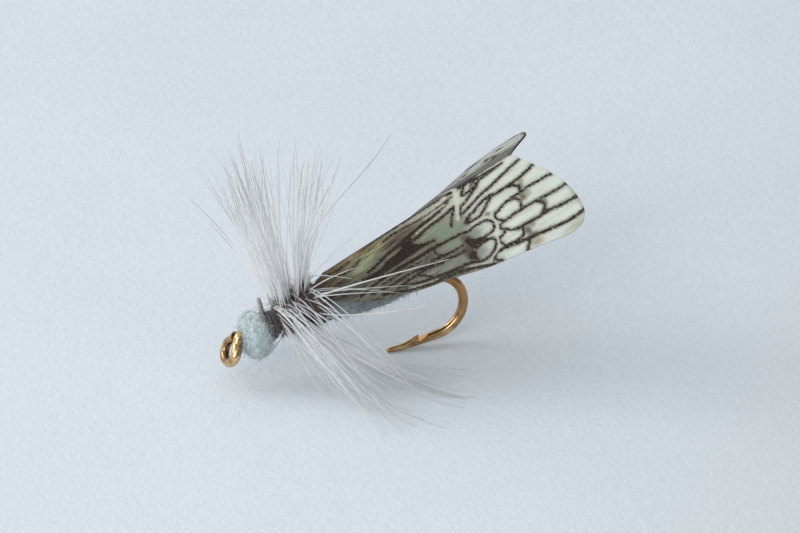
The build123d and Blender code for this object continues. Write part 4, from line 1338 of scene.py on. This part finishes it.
def joined(near, far):
    """One grid from two halves that share the ridge."""
    return np.concatenate([near[:, :0:-1], far], axis=1)


def wing(material):
    """The printed film: neck, ridge and two halves, as one closed sheet."""
    near, near_values = wing_half(-1)
    far, far_values = wing_half(1)
    grid = joined(near, far)
    normal = unit(np.cross(np.gradient(grid, axis=0), np.gradient(grid, axis=1)))
    layers = [(grid + normal * (away * FILM / 2)).reshape(-1, 3) for away in (1, -1)]
    values = {}
    for key in near_values:
        value = joined(near_values[key], far_values[key])
        value = value.reshape((-1,) + value.shape[2:])
        values[key] = np.concatenate([value, value])
    shape = Shape()
    shape.add(np.concatenate(layers), sheet_faces(*grid.shape[:2]), **values)
    shape.build("wing_printed_film", "wing", material)


# ---------------------------------------------------------------- stage, light and camera


def floor():
    """A large pale card that the fly stands on."""
    mesh = bpy.data.meshes.new("card")
    size = 2.0  # metres
    corners = [(x * size, y * size, FLOOR * MM) for x, y in ((-1, -1), (1, -1), (1, 1), (-1, 1))]
    mesh.from_pydata(corners, [], [(0, 1, 2, 3)])
    mesh.materials.append(paper_material())
    card = bpy.data.objects.new("card", mesh)
    bpy.context.scene.collection.objects.link(card)


def stand(name, data, target, way, distance):
    """Puts a light or a camera at a distance from target, looking at it; lengths in metres."""
    made = bpy.data.objects.new(name, data)
    way = Vector(way).normalized()
    made.location = target + way * distance
    made.rotation_euler = way.to_track_quat("Z", "Y").to_euler()
    bpy.context.scene.collection.objects.link(made)
    return made


def area_light(name, centre, way, distance, size, power, colour):
    """A square light in direction way from centre; power in watts, lengths in metres."""
    data = bpy.data.lights.new(name, "AREA")
    data.shape, data.size, data.energy, data.color = "SQUARE", size, power, colour
    stand(name, data, centre, way, distance)


def world():
    """Pale room light: brightest overhead and to the left, darker on the camera's side."""
    made = bpy.data.worlds.new("room")
    made.use_nodes = True
    tree = made.node_tree
    way = tree.nodes.new("ShaderNodeTexCoord").outputs["Generated"]
    dot = tree.nodes.new("ShaderNodeVectorMath")
    dot.operation = "DOT_PRODUCT"
    dot.inputs[1].default_value = Vector((-0.45, 0.45, 0.75)).normalized()
    tree.links.new(way, dot.inputs[0])
    ramp = tree.nodes.new("ShaderNodeMapRange")
    for key, value in zip((1, 2, 3, 4), (-0.6, 1.0, 0.22, 0.96)):
        ramp.inputs[key].default_value = value
    tree.links.new(dot.outputs["Value"], ramp.inputs[0])
    shade = tree.nodes["Background"]
    shade.inputs[0].default_value = (0.89, 0.95, 1.0, 1.0)
    tree.links.new(ramp.outputs[0], shade.inputs[1])
    bpy.context.scene.world = made


def camera(centre):
    """At the photograph's angle: a long lens, thirty degrees above the floor."""
    distance, width = 0.40, 0.0432  # metres; width is what the picture spans at the fly
    data = bpy.data.cameras.new("camera")
    data.sensor_width = 36.0
    data.lens = data.sensor_width * distance / width
    data.clip_start, data.clip_end = 0.01, 10.0
    aim = centre + Vector((1.175, -1.325, -0.825)) * MM
    bpy.context.scene.camera = stand("camera", data, aim, (-0.3123, -0.8073, 0.5007), distance)


def studio():
    centre = (CAD_BOX[0] + CAD_BOX[1]) / 2
    camera(centre)
    floor()
    world()
    area_light("window", centre, (-0.79, 0.61, 0.62), 0.36, 0.22, 0.43, (1.0, 0.985, 0.975))
    area_light("fill", centre, (-0.77, -0.64, 0.60), 0.29, 0.18, 0.30, (1.0, 0.985, 0.970))
    bpy.context.scene.view_settings.view_transform = "Standard"


# ---------------------------------------------------------------- the fly

PALE_WOOL = ((0.42, 0.485, 0.49), (0.575, 0.67, 0.68), (0.73, 0.82, 0.83))
# the body is the head's pale wool painted darker and greyer: painted shade under the wing
SHADED_BODY_WOOL = ((0.29, 0.315, 0.33), (0.385, 0.415, 0.43), (0.49, 0.53, 0.545))
DARK_WOOL = ((0.036, 0.021, 0.019), (0.095, 0.060, 0.056), (0.20, 0.145, 0.14))
THREAD_TONES = ((0.030, 0.026, 0.027), (0.115, 0.10, 0.098))

studio()
thread = thread_material("tying_thread", *THREAD_TONES)
feather = feather_material()
stem = stem_material()
hook(wire_material())
thread_base(thread)
whip_finish(thread)
thread_collar(thread)
wing_lashing(thread)
head(wool_material("pale_wool", *PALE_WOOL))
body(wool_material("shaded_body_wool", *SHADED_BODY_WOOL))
thorax(wool_material("dark_wool", *DARK_WOOL))
hackle_stem(stem)
hackle_stub(stem)
upper_barbs(feather)
lower_barbs(feather)
wing(film_material())
